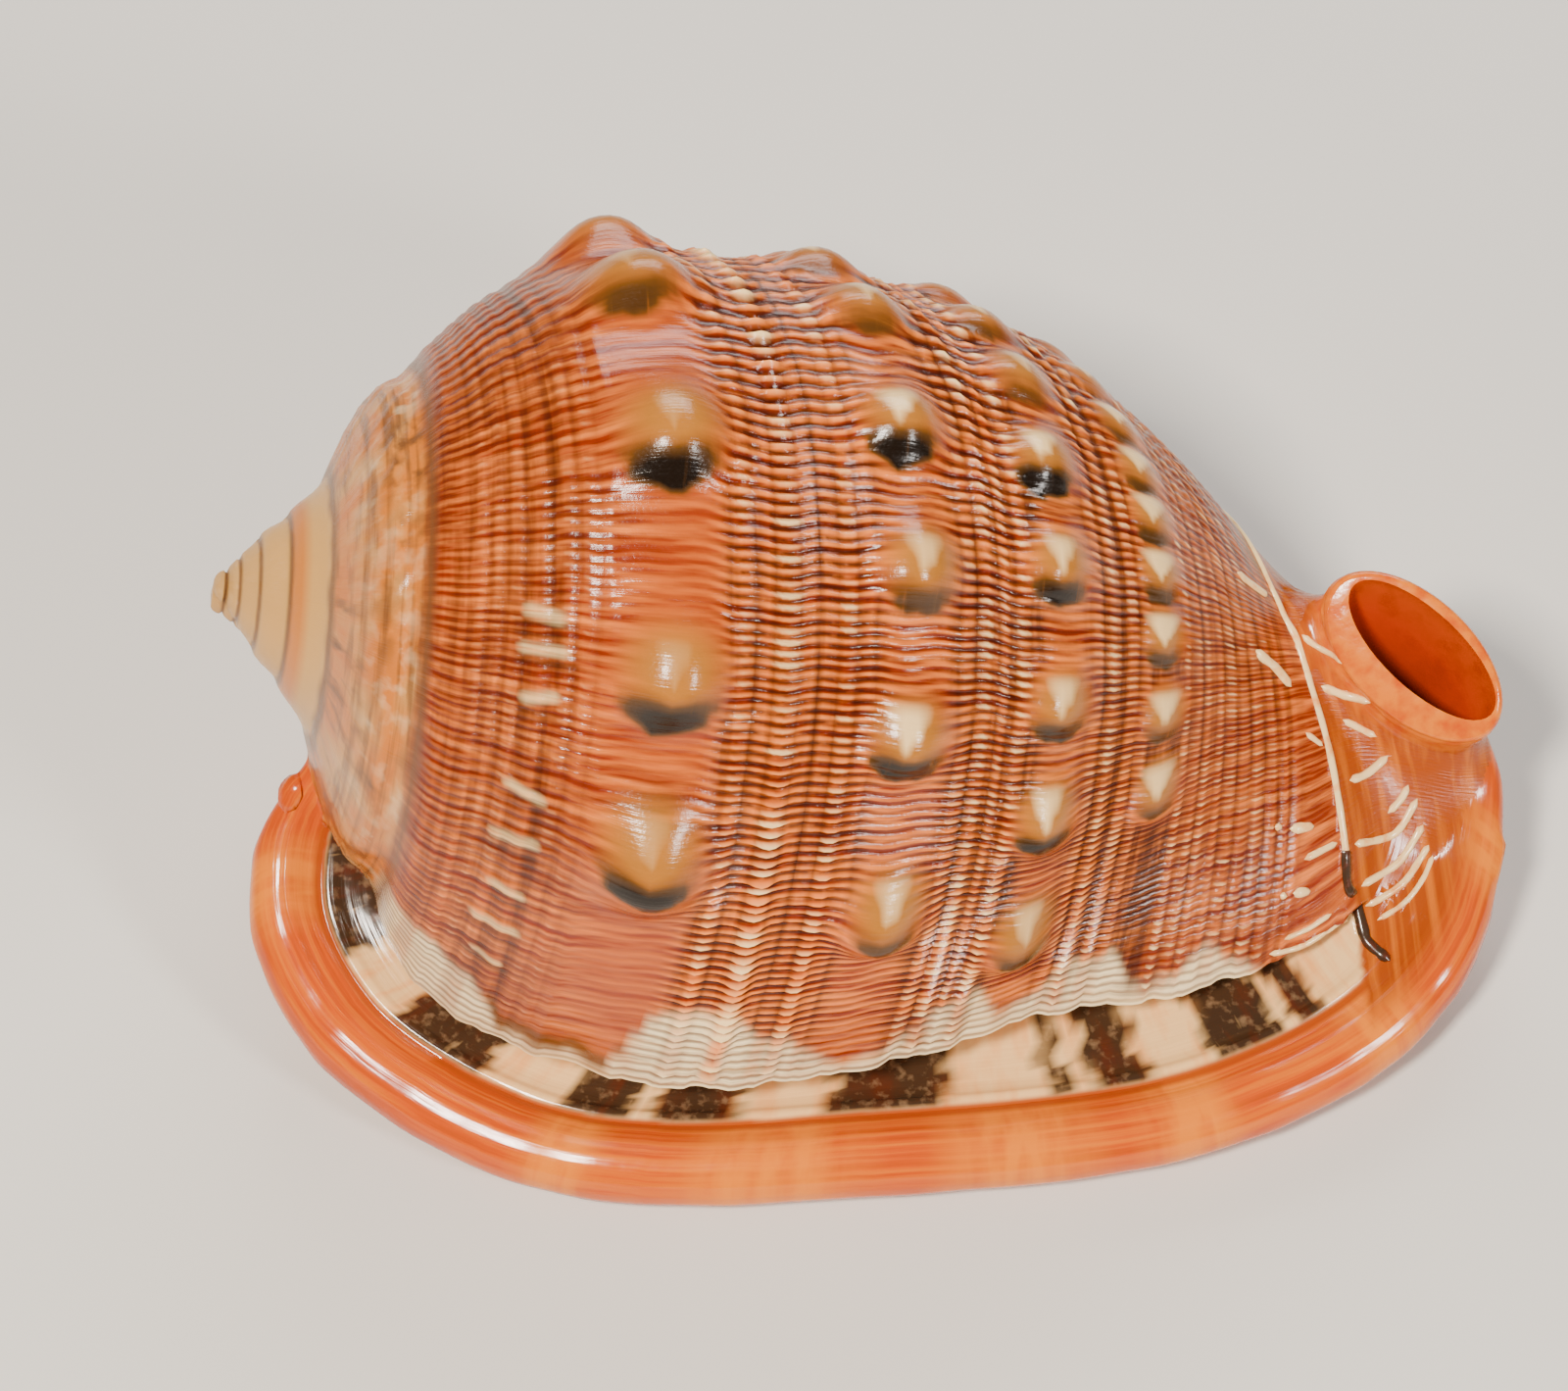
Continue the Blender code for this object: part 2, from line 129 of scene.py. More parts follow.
# The underside: lowest height, middle along the axis, half width in degrees of its flat,
# how fast it rises from there along and around, and how softly the whorl meets it.
FLOOR = -0.7
FLOOR_MIDDLE = 62.0
FLOOR_FLAT = 14.0
FLOOR_RISE_ALONG = 3.2 / 45.0 ** 2
FLOOR_RISE_AROUND = 2.6 / 40.0 ** 2
FLOOR_SOFTNESS = 2.5

# The lip: outermost point of the rolled rim (x, y, z), then the foot of its section (x, y).
LIP_PATH = np.array((
    (-60.5, 1.5, 25.0, -48.0, 2.0), (-65.5, -2.5, 20.5, -47.0, -3.0),
    (-69.3, -7.0, 16.0, -45.0, -7.0), (-70.0, -15.0, 11.8, -41.0, -10.0),
    (-66.8, -23.5, 9.0, -36.0, -11.5), (-61.0, -31.0, 6.9, -31.0, -12.0),
    (-50.5, -38.8, 5.0, -25.0, -12.0), (-38.9, -44.2, 4.3, -19.0, -12.0),
    (-24.2, -46.9, 4.1, -12.0, -12.0), (-5.0, -47.3, 4.1, 0.0, -12.0),
    (13.0, -47.2, 4.1, 11.0, -12.0), (29.1, -45.8, 4.3, 21.0, -11.0),
    (41.5, -42.6, 4.8, 29.0, -9.5), (51.5, -38.3, 5.6, 36.0, -7.5),
    (59.0, -33.0, 6.8, 41.0, -5.5), (64.6, -26.5, 8.8, 45.0, -4.0),
    (68.3, -18.5, 11.4, 49.0, -2.5), (70.2, -11.5, 14.2, 53.0, -1.0),
    (70.4, -6.5, 17.0, 56.0, 1.5)))
# Its section: the roll and the angles it spans, then the channel behind it.
ROLL_RADIUS = 4.1
ROLL_ANGLES = (-75.0, 125.0)
# Distance inward of points on the channel, and their height over the rim when open or filled.
CHANNEL_INWARD = (8.2, 9.2, 11.0, 15.0)
CHANNEL_OPEN = (2.6, 3.1, 2.7, 3.2, 4.0, 3.0)
CHANNEL_FILLED = (2.9, 3.1, 4.3, 7.2, 9.5, 9.0)
# Along the path, how far the channel is filled.
CHANNEL_FILL = np.array((
    (0.0, 0.9), (2.0, 0.35), (4.0, 0.0), (12.4, 0.0),
    (13.6, 0.15), (14.6, 0.65), (15.6, 1.0), (18.0, 1.0)))
# Where the underside of the lip leaves the roll, as a distance inward.
LIP_FLOOR_START = 11.5

# The canal, from its buried foot to its mouth: centre, long half-axis, short half-axis.
CANAL = np.array((
    ((38.0, 1.0, 1.2), (11.0, -5.0, 0.5), (2.0, 7.0, 0.2)),
    ((40.0, 0.5, 4.0), (18.0, -8.0, 0.5), (3.5, 13.5, 0.6)),
    ((48.0, -0.8, 11.5), (16.0, -9.0, -3.0), (4.5, 13.5, 1.2)),
    ((54.6, -1.2, 19.8), (12.3, -8.5, -5.0), (5.4, 10.2, 2.6)),
    ((57.9, 0.4, 27.4), (8.6, -7.6, -4.4), (4.6, 4.0, 3.4)),
    ((58.9, -0.3, 31.2), (7.9, -7.9, -3.7), (4.7, 2.9, 3.7))))
# The bright band round its mouth: where it starts to darken below the mouth, and where it has.
CANAL_BAND = (1.6, 3.6)
# Its bore, from the slot to past the mouth.
BORE = np.array((
    ((24.0, -8.0, 8.0), (0.0, 0.0, -4.5), (0.0, 3.6, 0.0)),
    ((42.0, -5.0, 9.0), (1.0, -1.0, -5.0), (0.0, 4.0, 0.5)),
    ((53.5, -1.0, 15.0), (4.0, -3.8, -4.6), (1.2, 3.4, 1.2)),
    ((57.7, 0.6, 24.1), (6.0, -6.0, -3.1), (2.5, 2.0, 1.9)),
    ((59.7, -0.1, 31.7), (6.8, -6.8, -3.2), (2.9, 1.8, 2.4)),
    ((58.8, -2.3, 35.3), (7.0, -7.0, -3.3), (3.1, 1.9, 2.5))))

# The chamber inside the last whorl: wall, angles it spans, angle over which it opens,
# then half-length and depth at its inner end and at the slot, and its middle.
WALL = 4.0
CHAMBER_ANGLES = (-60.0, 168.0)
CHAMBER_OPENING = 150.0
CHAMBER_HALF_LENGTH = (22.0, 41.0)
CHAMBER_MIDDLE = 62.0
CHAMBER_DEPTH = (5.0, 19.0)

# The slot in the underside: its ends, middle line, half width and how it narrows at the ends.
SLOT_ENDS = (-47.0, 47.0)
SLOT_Y = -9.0
SLOT_BEND = 0.0022
SLOT_HALF_WIDTH = 4.6
SLOT_TAPER = 0.45
SLOT_TOP = 10.0
# Teeth on the lip side and folds opposite: how many, how far they stand into the slot,
# how deep its edge is chamfered, and how far the chamfer reaches on them and between them.
SLOT_TEETH = 23
TOOTH = 0.9
FOLD = 0.6
EDGE_DEPTH = 1.9
EDGE_REACH = (2.4, 6.0)

# Seams between the whorls of the spire, and a thin spiral line on its last whorl.
SEAMS = (1.3, 2.6, 4.5, 7.4, 11.2)
SPIRE_LINES = (13.9, 15.6)
# The rounded tip: its length and radius.
TIP = (1.3, 1.65)
# Spiral rows of beads that show through the white of the crest.
CREST_BEADS = (52.3, 58.4, 73.0, 77.0, 88.0, 98.0)
# The edge of the crest's white: spiral row, then the column where it starts.
CREST_EDGE = np.array((
    (20.0, 95.0), (27.0, 98.0), (31.0, 105.5), (42.0, 107.0), (45.5, 95.0), (51.0, 94.0),
    (56.0, 99.0), (60.0, 101.0), (64.0, 106.0), (70.0, 106.0), (74.0, 100.0), (78.0, 98.0),
    (82.0, 104.5), (85.0, 104.5), (88.0, 99.0), (93.0, 99.0), (96.0, 105.0), (100.0, 105.0),
    (104.0, 102.0), (109.0, 107.0), (115.0, 112.0)))

# Columns of growth lines are the angle from the top at first. From the first of these three on
# they bend, so that the second is the crest and the third the end of the lip side.
BEND_COLUMN = 60.0
CREST_COLUMN = 110.0
LAST_COLUMN = 170.0
# Axial threads are old lip edges: degrees between them at a column round the whorl.
THREAD_STEPS = np.array((
    (-200.0, 4.4), (-25.0, 4.2), (-5.0, 2.9), (10.0, 2.0), (40.0, 1.55), (112.0, 1.35), (180.0, 1.5)))
# Rows of the mesh: those of the rounded tip, then where each stretch starts and ends and its step.
TIP_ROWS = (0.06, 0.2, 0.4, 0.7)
MESH_ROWS = (
    (1.85, 19.2, 0.62), (19.45, 36.0, 0.48), (36.0, 46.5, 1.15), (46.5, 62.0, 0.64), (62.0, 70.0, 1.05),
    (70.0, 79.0, 0.62), (79.0, 85.0, 0.95), (85.0, 93.5, 0.57), (93.5, 115.0, 0.62), (115.0, 126.6, 0.95))
CLOSEST_ROWS = 0.12
# Its columns follow the threads: five in a thread from the first of these columns, four from the
# second, three from the third, up to the last. The crest has columns of its own.
THREADED_COLUMNS = (-104.0, -22.0, 2.0, 108.0)
CREST_MESH_COLUMNS = (108.6, 109.3, 110.0, 110.7, 111.4, 112.2, 114.0, 117.0)
# How strongly the threads show along the spiral rows.
WEAVE = np.array((
    (19.5, 0.2), (24.0, 0.3), (33.0, 0.25), (37.0, 0.15), (44.5, 0.15), (47.0, 1.0), (61.0, 1.0),
    (63.5, 0.5), (67.5, 0.5), (70.0, 1.0), (79.0, 1.0), (81.0, 0.45), (84.0, 0.45), (86.5, 0.9),
    (92.0, 0.7), (97.0, 0.5), (105.0, 0.35), (118.0, 0.1)))
# How dark the grooves between the spiral cords show along the rows: brown that the shell has, deepened as
# painted shade.
GROOVES = np.array((
    (20.0, 0.9), (31.0, 0.8), (34.0, 0.35), (37.0, 0.0), (45.5, 0.1), (47.0, 0.95),
    (60.5, 0.95), (62.5, 0.15), (68.5, 0.15), (70.5, 0.95), (78.5, 0.95), (80.0, 0.3),
    (84.0, 0.3), (86.0, 0.95), (112.0, 0.85), (118.0, 0.0)))
# Spiral cords: row, half width, height, how beaded, how cream the beads are.
CORDS = (
    (21.0, 0.55, 0.30, 0.5, 0.0), (22.3, 0.55, 0.30, 0.4, 0.0), (23.7, 0.60, 0.34, 0.5, 0.1),
    (25.2, 0.60, 0.30, 0.5, 0.1), (26.8, 0.65, 0.34, 0.5, 0.1), (28.8, 0.70, 0.30, 0.5, 0.0),
    (31.2, 0.60, 0.24, 0.4, 0.1), (33.0, 0.60, 0.22, 0.4, 0.1), (35.0, 0.55, 0.16, 0.3, 0.0),
    (47.9, 0.85, 0.42, 0.8, 0.45), (50.1, 0.50, 0.14, 0.6, 0.0), (52.3, 1.25, 0.78, 0.9, 1.0),
    (54.5, 0.50, 0.14, 0.6, 0.0), (56.4, 0.50, 0.16, 0.6, 0.1), (58.4, 0.85, 0.46, 0.85, 0.55),
    (60.3, 0.50, 0.16, 0.6, 0.1), (70.9, 0.55, 0.26, 0.8, 0.4), (73.0, 0.70, 0.42, 0.85, 0.8),
    (75.0, 0.50, 0.24, 0.8, 0.4), (77.0, 0.70, 0.40, 0.85, 0.7), (85.9, 0.50, 0.24, 0.8, 0.3),
    (87.9, 0.65, 0.40, 0.85, 0.8), (90.4, 0.55, 0.34, 0.8, 0.5), (92.2, 0.45, 0.24, 0.6, 0.2),
    (97.9, 0.45, 0.28, 0.6, 0.6), (99.5, 0.45, 0.30, 0.6, 0.4), (101.1, 0.45, 0.30, 0.6, 0.5),
    (102.7, 0.45, 0.30, 0.5, 0.3), (104.4, 0.50, 0.32, 0.6, 0.6), (106.2, 0.50, 0.30, 0.5, 0.3),
    (108.0, 0.50, 0.28, 0.5, 0.5), (110.0, 0.50, 0.26, 0.4, 0.3), (112.0, 0.50, 0.22, 0.3, 0.1),
    (114.2, 0.50, 0.18, 0.2, 0.0))
# Cream dashes on the shoulder: angle and distance along where each starts and ends, half width.
DASHES = (
    (36, 28.6, 37, 31.2, 0.85), (42, 28.2, 42, 31.8, 0.7), (50, 28.8, 49, 31.2, 0.75),
    (65, 28.2, 66, 31.2, 0.7), (75, 27.6, 74, 31.2, 0.75), (85, 28.2, 85, 31.0, 0.65),
    (94, 27.4, 93, 31.2, 0.7), (102, 28.0, 102, 30.6, 0.5))
# The last growth line beside the canal: angle, distance along.
GROWTH_LINE = np.array((
    (-110.0, 108.0), (-70.0, 109.6), (-40.0, 111.3), (-10.0, 113.8), (13.0, 115.9), (30.0, 117.8),
    (52.0, 119.4), (67.0, 120.9), (79.0, 122.3), (88.0, 123.7), (95.0, 125.0), (101.0, 126.7)))
# Raised cream lines round the canal's foot: half width, then the points (x, y, z) that each passes.
CREAM_LINES = (
    (0.60, (41.5, -0.5, 34.5), (43.7, -0.8, 31.8), (45.5, -2.0, 29.5)),
    (0.45, (40.0, 7.0, 39.0), (42.0, 7.2, 36.2), (44.0, 7.5, 33.5)),
    (0.35, (47.5, 4.5, 29.5), (49.5, 2.5, 29.2), (51.0, 0.0, 30.0)),
    (0.50, (49.2, -0.6, 26.8), (51.8, -1.6, 26.2), (54.0, -3.4, 26.8)),
    (0.35, (46.8, -6.6, 27.0), (48.6, -7.3, 25.3)),
    (0.40, (51.4, -3.8, 24.6), (55.0, -5.4, 23.4)),
    (0.50, (51.6, -10.0, 22.0), (53.8, -9.0, 21.5), (56.2, -7.2, 22.0)),
    (0.45, (56.0, -12.2, 18.2), (57.6, -11.0, 18.8), (58.4, -9.8, 19.7)),
    (0.40, (45.6, -18.5, 20.0), (49.5, -16.2, 19.2)),
    (0.45, (51.8, -15.8, 18.0), (54.6, -14.5, 16.4), (57.1, -13.5, 16.2), (59.4, -11.0, 18.6)),
    (0.45, (52.6, -19.2, 14.5), (56.5, -16.8, 14.2), (58.3, -15.0, 14.8), (60.0, -13.0, 16.3)),
    (0.40, (53.0, -20.3, 12.0), (57.0, -18.7, 13.0), (59.0, -16.6, 13.6), (60.6, -14.5, 14.5)),
    (0.30, (54.2, -21.8, 11.3), (57.4, -20.2, 12.0), (59.7, -17.8, 12.9), (61.0, -15.5, 13.8)),
    (0.55, (42.4, -16.4, 23.7), (43.0, -16.4, 23.4)),
    (0.60, (44.1, -16.3, 22.9), (46.9, -15.5, 21.9)),
    (0.55, (42.7, -21.8, 18.2), (43.3, -21.9, 17.9)),
    (0.60, (44.3, -21.6, 17.9), (46.2, -21.0, 17.2)),
    (0.30, (43.1, -25.0, 14.0), (45.8, -24.0, 14.0), (48.6, -22.2, 14.1)),
    (0.35, (41.3, -26.1, 13.0), (44.5, -25.3, 12.4), (47.8, -23.8, 12.6), (50.8, -21.6, 11.4)))
# Where the last growth line runs on, dark, into the lip, and a small lump at the lip's other end.
DARK_LINE = (0.65, (52.5, -22.7, 10.6), (53.3, -24.3, 10.0), (55.0, -26.1, 9.8))
LUMP = (1.7, (-63.9, -1.6, 24.2), (-65.3, -5.2, 21.8))

# Dark blocks across the channel of the lip: place along its path where each starts and ends.
BLOCKS = (
    (1.6, 3.75), (4.72, 5.9), (6.68, 7.40), (7.50, 8.25), (8.7, 9.6), (10.2, 10.42), (10.5, 11.05),
    (11.6, 12.45), (12.53, 13.0))
# Paler patches on the rim: place along the path and half length.
RIM_PATCHES = ((2.6, 0.5), (6.98, 0.28), (8.45, 0.45), (9.95, 0.45), (11.2, 0.35), (13.4, 0.5), (16.2, 0.5))

# Growth rings beside the canal are about 1.1 mm apart and run 33 columns before they change:
# cycles in a millimetre beyond the last growth line, and in a column.
GROWTH_RINGS = (0.9, 0.03)
# The shell's index of refraction, its mirror share, and the roughness of its clear top layer.
SHELL_IOR = 1.53
SHELL_SPECULAR = 0.32
GLAZE_ROUGHNESS = 0.06
# Height over the floor at which the relief starts and is full.
WORN_HEIGHTS = (0.2, 1.2)

# Lights round a point over the shell's foot: name, place and sides in metres, share of the key's
# power, tint. The air is the dim light from everywhere else.
LIGHT_AIM = (0.0, 0.0, 0.03)
LIGHTS = (
    ("key", (-0.25, -0.30, 0.62), (0.10, 0.14), 1.0, "#FFF4E6"),
    ("fill", (0.45, -0.42, 0.40), (0.12, 0.12), 0.4, "#FFFAF4"),
    ("back", (0.10, 0.55, 0.40), (0.5, 0.25), 0.4, "#FFFFFF"))
AIR_COLOUR = "#EBE6DF"
AIR_STRENGTH = 0.14
# Point on the floor, in metres, at which the camera looks, and the width of its sensor in mm.
CAMERA_AIM = (-0.0086, 0.0184, 0.0)
SENSOR_WIDTH = 36.0


def linear(code):
    """Turn an sRGB hex code into a linear colour."""
    parts = [int(code[i:i + 2], 16) / 255.0 for i in (1, 3, 5)]
    return tuple(p / 12.92 if p <= 0.04045 else ((p + 0.055) / 1.055) ** 2.4 for p in parts) + (1.0,)


def colour(label, about, code):
    """A colour that the user may change."""
    return bpy.props.FloatVectorProperty(
        name=label, description=about, subtype="COLOR", size=4, min=0.0, max=1.0, default=linear(code))


def length(label, about, value):
    """A length that the user may change, given in millimetres."""
    return bpy.props.FloatProperty(
        name=label, description=about, default=value * MM, min=0.0, unit="LENGTH")


class HelmetShellSizes(bpy.types.PropertyGroup):
    """Sizes of the surface detail."""

    thread_height: length("Thread height", "Height of the axial threads between the knob rows", 0.26)
    cord_scale: bpy.props.FloatProperty(
        name="Cord scale", description="Scale on the height of the spiral cords and beads",
        default=1.0, min=0.0, subtype="FACTOR")
    crest_frill: length("Crest frill", "Depth of the scallops along the crest", 0.8)
    rim_lines: length("Rim lines", "Height of the growth lines round the rim", 0.07)
    seam_rings: bpy.props.IntProperty(
        name="Seam rings", description="Rings of the mesh that soften where the lip joins the whorl",
        default=3, min=0)


class HelmetShellColours(bpy.types.PropertyGroup):
    """Colours of the shell's layers."""

    rufous: colour("Rufous", "Ground colour of the last whorl", "#8E2A06")
    orange: colour("Orange", "Lighter streaks and threads", "#F28232")
    # Brown of the fine lines and of the troughs between threads and cords, deepened there and deep in the
    # canal as painted shade.
    dark_brown_and_shade: colour("Trough", "Dark lines between threads and cords", "#2A0A02")
    flesh: colour("Flesh", "Smooth salmon brown between the largest knobs", "#AE4810")
    # Mauve brown of the shell's clouds, shoulder streaks and blocks, and painted shade between the knobs on
    # the back.
    mauve_and_shade: colour("Mauve", "Brown shade between the knobs", "#5C220E")
    bead: colour("Bead", "Cream of beads and dashes", "#FBD594")
    knob_top: colour("Knob top", "Golden tan of the worn knob tops", "#A46A24")
    # Olive brown and dark patch on each knob's lip side: partly the shell's brown, partly painted shade under
    # the knob. The dark also marks the spots after the dashes, the olive the pocket by the crest.
    knob_olive: colour("Knob olive", "Olive brown between a knob's top and its dark patch", "#5C3C16")
    knob_shade: colour("Knob shade", "Dark patch on the lip side of a knob", "#170E07")
    crest: colour("Crest", "Greyish white along the crest", "#F8DFAE")
    crest_line: colour("Crest line", "Grey growth lines in the white of the crest", "#86694C")
    spire: colour("Spire", "Cream of the spire whorls", "#CC9A56")
    spire_streak: colour("Spire streak", "Ochre streaks on the spire", "#C4640C")
    # Brown of the spire's folds and bands, and painted shade along its seams.
    spire_shade: colour("Spire shade", "Brown in the seams and folds of the spire", "#6E4424")
    rim: colour("Rim", "Orange of the rolled rim", "#C84A00")
    rim_deep: colour("Deep rim", "Darker growth lines round the rim", "#A03E04")
    rim_pale: colour("Pale rim", "Paler patches on the rim", "#E67E10")
    block: colour("Block", "Dark blocks of the channel", "#3A281A")
    block_cream: colour("Block cream", "Cream between the blocks", "#F0C080")
    # Deeper orange a little way into the canal, where the lining starts to darken with depth as painted
    # shade.
    canal: colour("Canal", "Orange of the canal's lining", "#B83404")
    fasciole: colour("Fasciole", "Brown-orange of the shell beside the canal", "#9C4208")
    callus: colour("Callus", "Salmon glaze of the underside", "#C24A0C")
    tooth: colour("Tooth", "Cream of the teeth beside the slot", "#F3DDBB")


class HelmetShellStage(bpy.types.PropertyGroup):
    """Floor, lights and camera."""

    floor_size: length("Floor size", "Side of the square floor", 4000.0)
    floor_colour: colour("Floor", "Pale plain floor", "#D9D6D0")
    key_power: bpy.props.FloatProperty(
        name="Key power", description="Power of the main light", default=8.8, min=0.0, unit="POWER")
    camera_distance: length("Camera distance", "From the lens to the point it looks at", 452.7)
    camera_lens: bpy.props.FloatProperty(
        name="Lens", description="Focal length on a 36 mm wide sensor", default=87.75, min=1.0, unit="CAMERA")
    elevation: bpy.props.FloatProperty(
        name="Elevation", description="Height of the camera over the floor", default=np.radians(57.0),
        subtype="ANGLE")
    azimuth: bpy.props.FloatProperty(
        name="Azimuth", description="Turn of the camera from the lip side toward the canal",
        default=np.radians(-4.3), subtype="ANGLE")


def smooth(t):
    """Ease from 0 to 1 as t goes from 0 to 1."""
    t = np.clip(t, 0.0, 1.0)
    return t * t * (3.0 - 2.0 * t)


def hump(t):
    """A rounded hump that is 1 at 0 and nearly gone by 1.6."""
    return np.exp(-np.abs(t) ** 2)


def through(keys, at):
    """Read a smooth curve through the rows of keys, whose first column is the place."""
    place = keys[:, 0]
    slopes = np.gradient(keys[:, 1:], place, axis=0)
    at = np.clip(np.asarray(at, float), place[0], place[-1])
    low = np.clip(np.searchsorted(place, at) - 1, 0, len(place) - 2)
    span = place[low + 1] - place[low]
    t = ((at - place[low]) / span)[..., None]
    span = span[..., None]
    return ((2 * t ** 3 - 3 * t ** 2 + 1) * keys[low, 1:]
            + (t ** 3 - 2 * t ** 2 + t) * span * slopes[low]
            + (3 * t ** 2 - 2 * t ** 3) * keys[low + 1, 1:]
            + (t ** 3 - t ** 2) * span * slopes[low + 1])


def ripple(at, period, phase=0.0):
    """A wandering wave of about the given period, from -1 to 1."""
    turn = 2.0 * np.pi / period
    return (np.sin(at * turn + phase) + 0.6 * np.sin(at * turn * 0.61 + 2.1 * phase + 1.0)
            + 0.4 * np.sin(at * turn * 1.73 + 0.7 * phase + 2.3)) / 2.0


def wander(angle):
    """A small wave round the whorl that closes on itself, from -1 to 1."""
    turn = np.radians(angle)
    return 0.5 * np.sin(7.0 * turn) + 0.5 * np.sin(16.0 * turn + 1.0)


def coil_point(angle, along, radius):
    """Place a point by its angle from the top, its distance along the axis and its radius."""
    turn = np.radians(angle)
    along, radius = np.asarray(along), np.asarray(radius)
    return (APEX + along[..., None] * AXIS
            + (radius * np.cos(turn))[..., None] * TOP
            + (radius * np.sin(turn))[..., None] * LIPWARD)


def coil_place(points):
    """Angle, distance along the axis and radius of points in space."""
    rel = points - APEX
    across, up = rel @ LIPWARD, rel @ TOP
    return np.degrees(np.arctan2(across, up)), rel @ AXIS, np.hypot(across, up)


def drifted(angle):
    """Stretch of the spiral rows toward the canal at an angle from the top."""
    return 1.0 + ROW_DRIFT * (1.0 - np.exp(-np.maximum(angle, -38.0) / ROW_DRIFT_ANGLE))


def row_share(row):
    """Share of the drift that a spiral row follows: none at the suture and the front end."""
    return smooth((row - BODY_START) / 12.0) * (1.0 - smooth((row - 108.0) / 16.0))


def along_of(angle, row):
    """Distance along the axis of a spiral row at an angle."""
    return row * (1.0 + (drifted(angle) - 1.0) * row_share(row))


def row_of(angle, along):
    """Spiral row that passes through a place."""
    row = np.array(along, float)
    for _ in range(5):
        row = along / (1.0 + (drifted(angle) - 1.0) * row_share(row))
    return row


def column_of(angle, along):
    """Column of growth lines through a place."""
    crest = through(CREST, along)[..., 1]
    before = BEND_COLUMN + (CREST_COLUMN - BEND_COLUMN) * (angle - BEND_COLUMN) / (crest - BEND_COLUMN)
    after = CREST_COLUMN + (LAST_COLUMN - CREST_COLUMN) * (angle - crest) / (LAST_COLUMN - crest)
    return np.where(angle < BEND_COLUMN, angle, np.where(angle < crest, before, after))


def angle_of(column, along):
    """Angle of a column of growth lines at a distance along the axis."""
    crest = through(CREST, along)[..., 1]
    before = BEND_COLUMN + (column - BEND_COLUMN) * (crest - BEND_COLUMN) / (CREST_COLUMN - BEND_COLUMN)
    after = crest + (column - CREST_COLUMN) * (LAST_COLUMN - crest) / (LAST_COLUMN - CREST_COLUMN)
    return np.where(column < BEND_COLUMN, column, np.where(column < CREST_COLUMN, before, after))


def thread_count(column):
    """Number of axial threads counted from the back up to a column."""
    ticks = np.arange(-200.0, 180.5, 0.5)
    steps = 0.5 / np.interp(ticks, THREAD_STEPS[:, 0], THREAD_STEPS[:, 1])
    return np.interp(column, ticks, np.cumsum(steps) - steps[0])


def wobble(column, row):
    """How far the threads wander along the spiral rows, in threads; none at the crest."""
    loose = smooth((108.0 - column) / 8.0) * smooth((column + 100.0) / 10.0)
    return loose * (0.13 * np.sin(row * 1.05) + 0.16 * np.sin(row * 0.43 + 2.0) + 0.3 * np.sin(row * 0.21))


def thread_phase(column, row):
    """Thread number at a place, whole on a ridge."""
    return thread_count(column) + wobble(column, row)


def chance(number):
    """A fixed random share for each whole number."""
    return np.modf(np.abs(np.sin(np.round(number) * 12.9898 + SEED) * 43758.5453))[0]


def knob_fields(angle, along, radius):
    """Height of the blunt knobs in mm, how near one is, and where its colours lie.

    The colours are its tan top, the cream flame on it and the dark patch on its lip side, which is partly the
    shell's brown and partly painted shade under the knob.
    """
    shape = np.broadcast(angle, along).shape
    height, nearness, pale, flame, dark = (np.zeros(shape) for _ in range(5))
    for order, (row_at, rise, back_share, width, angles) in enumerate(KNOB_ROWS):
        for knob_angle in angles:
            centre = row_at * drifted(knob_angle)
            full = np.interp(knob_angle, KNOB_GROWN, (back_share, 1.0))
            arc = np.radians(angle - knob_angle) * radius / width
            around = np.where(arc > 0.0, arc * KNOB_LEE, arc * KNOB_BACK)
            beside = (along - centre) / width
            near = np.exp(-(beside ** 2 + around ** 2) ** KNOB_POWER)
            height = np.maximum(height, full * rise * near)
            nearness = np.maximum(nearness, near)
            luck = chance(knob_angle + row_at)
            lean = beside + 0.25 * (luck - 0.3)
            low = arc + LATE_SHIFT * np.interp(knob_angle, LATE_KNOBS, (0.0, 1.0))
            out = np.hypot(lean, low) + 0.06 * ripple(np.arctan2(lean, low) * 4.0, 3.0, knob_angle)
            # The dark patch on a knob's lip side is partly the shell's brown and partly painted shade under
            # the knob.
            shaded = np.interp(knob_angle, *KNOB_SHADED)
            shaded *= 1.0 if order == 0 else 0.6 + 0.6 * luck
            lee = smooth(0.8 * low / (out + 0.05) + 0.1) * shaded * (order < 3 or 0.6)
            dark = np.maximum(dark, lee * smooth((out - 0.1) / 0.62) * smooth((1.1 - out) / 0.25))
            pale = np.maximum(pale, np.exp(-((lean / 0.85) ** 2 + ((low + 0.22) / 0.8) ** 2) ** 1.6))
            waist = np.clip(0.14 - 0.5 * low, 0.1, 0.6) * (1.0 + 0.5 * (order == 3))
            funnel = np.exp(-np.abs((lean + 0.1 * luck) / waist) ** 3) * np.exp(-((low + 0.3) / 0.55) ** 4)
            flame = np.maximum(flame, funnel * (0.55 + 0.45 * luck) * (order > 0 or 0.35))
    return height, nearness, pale, flame, dark


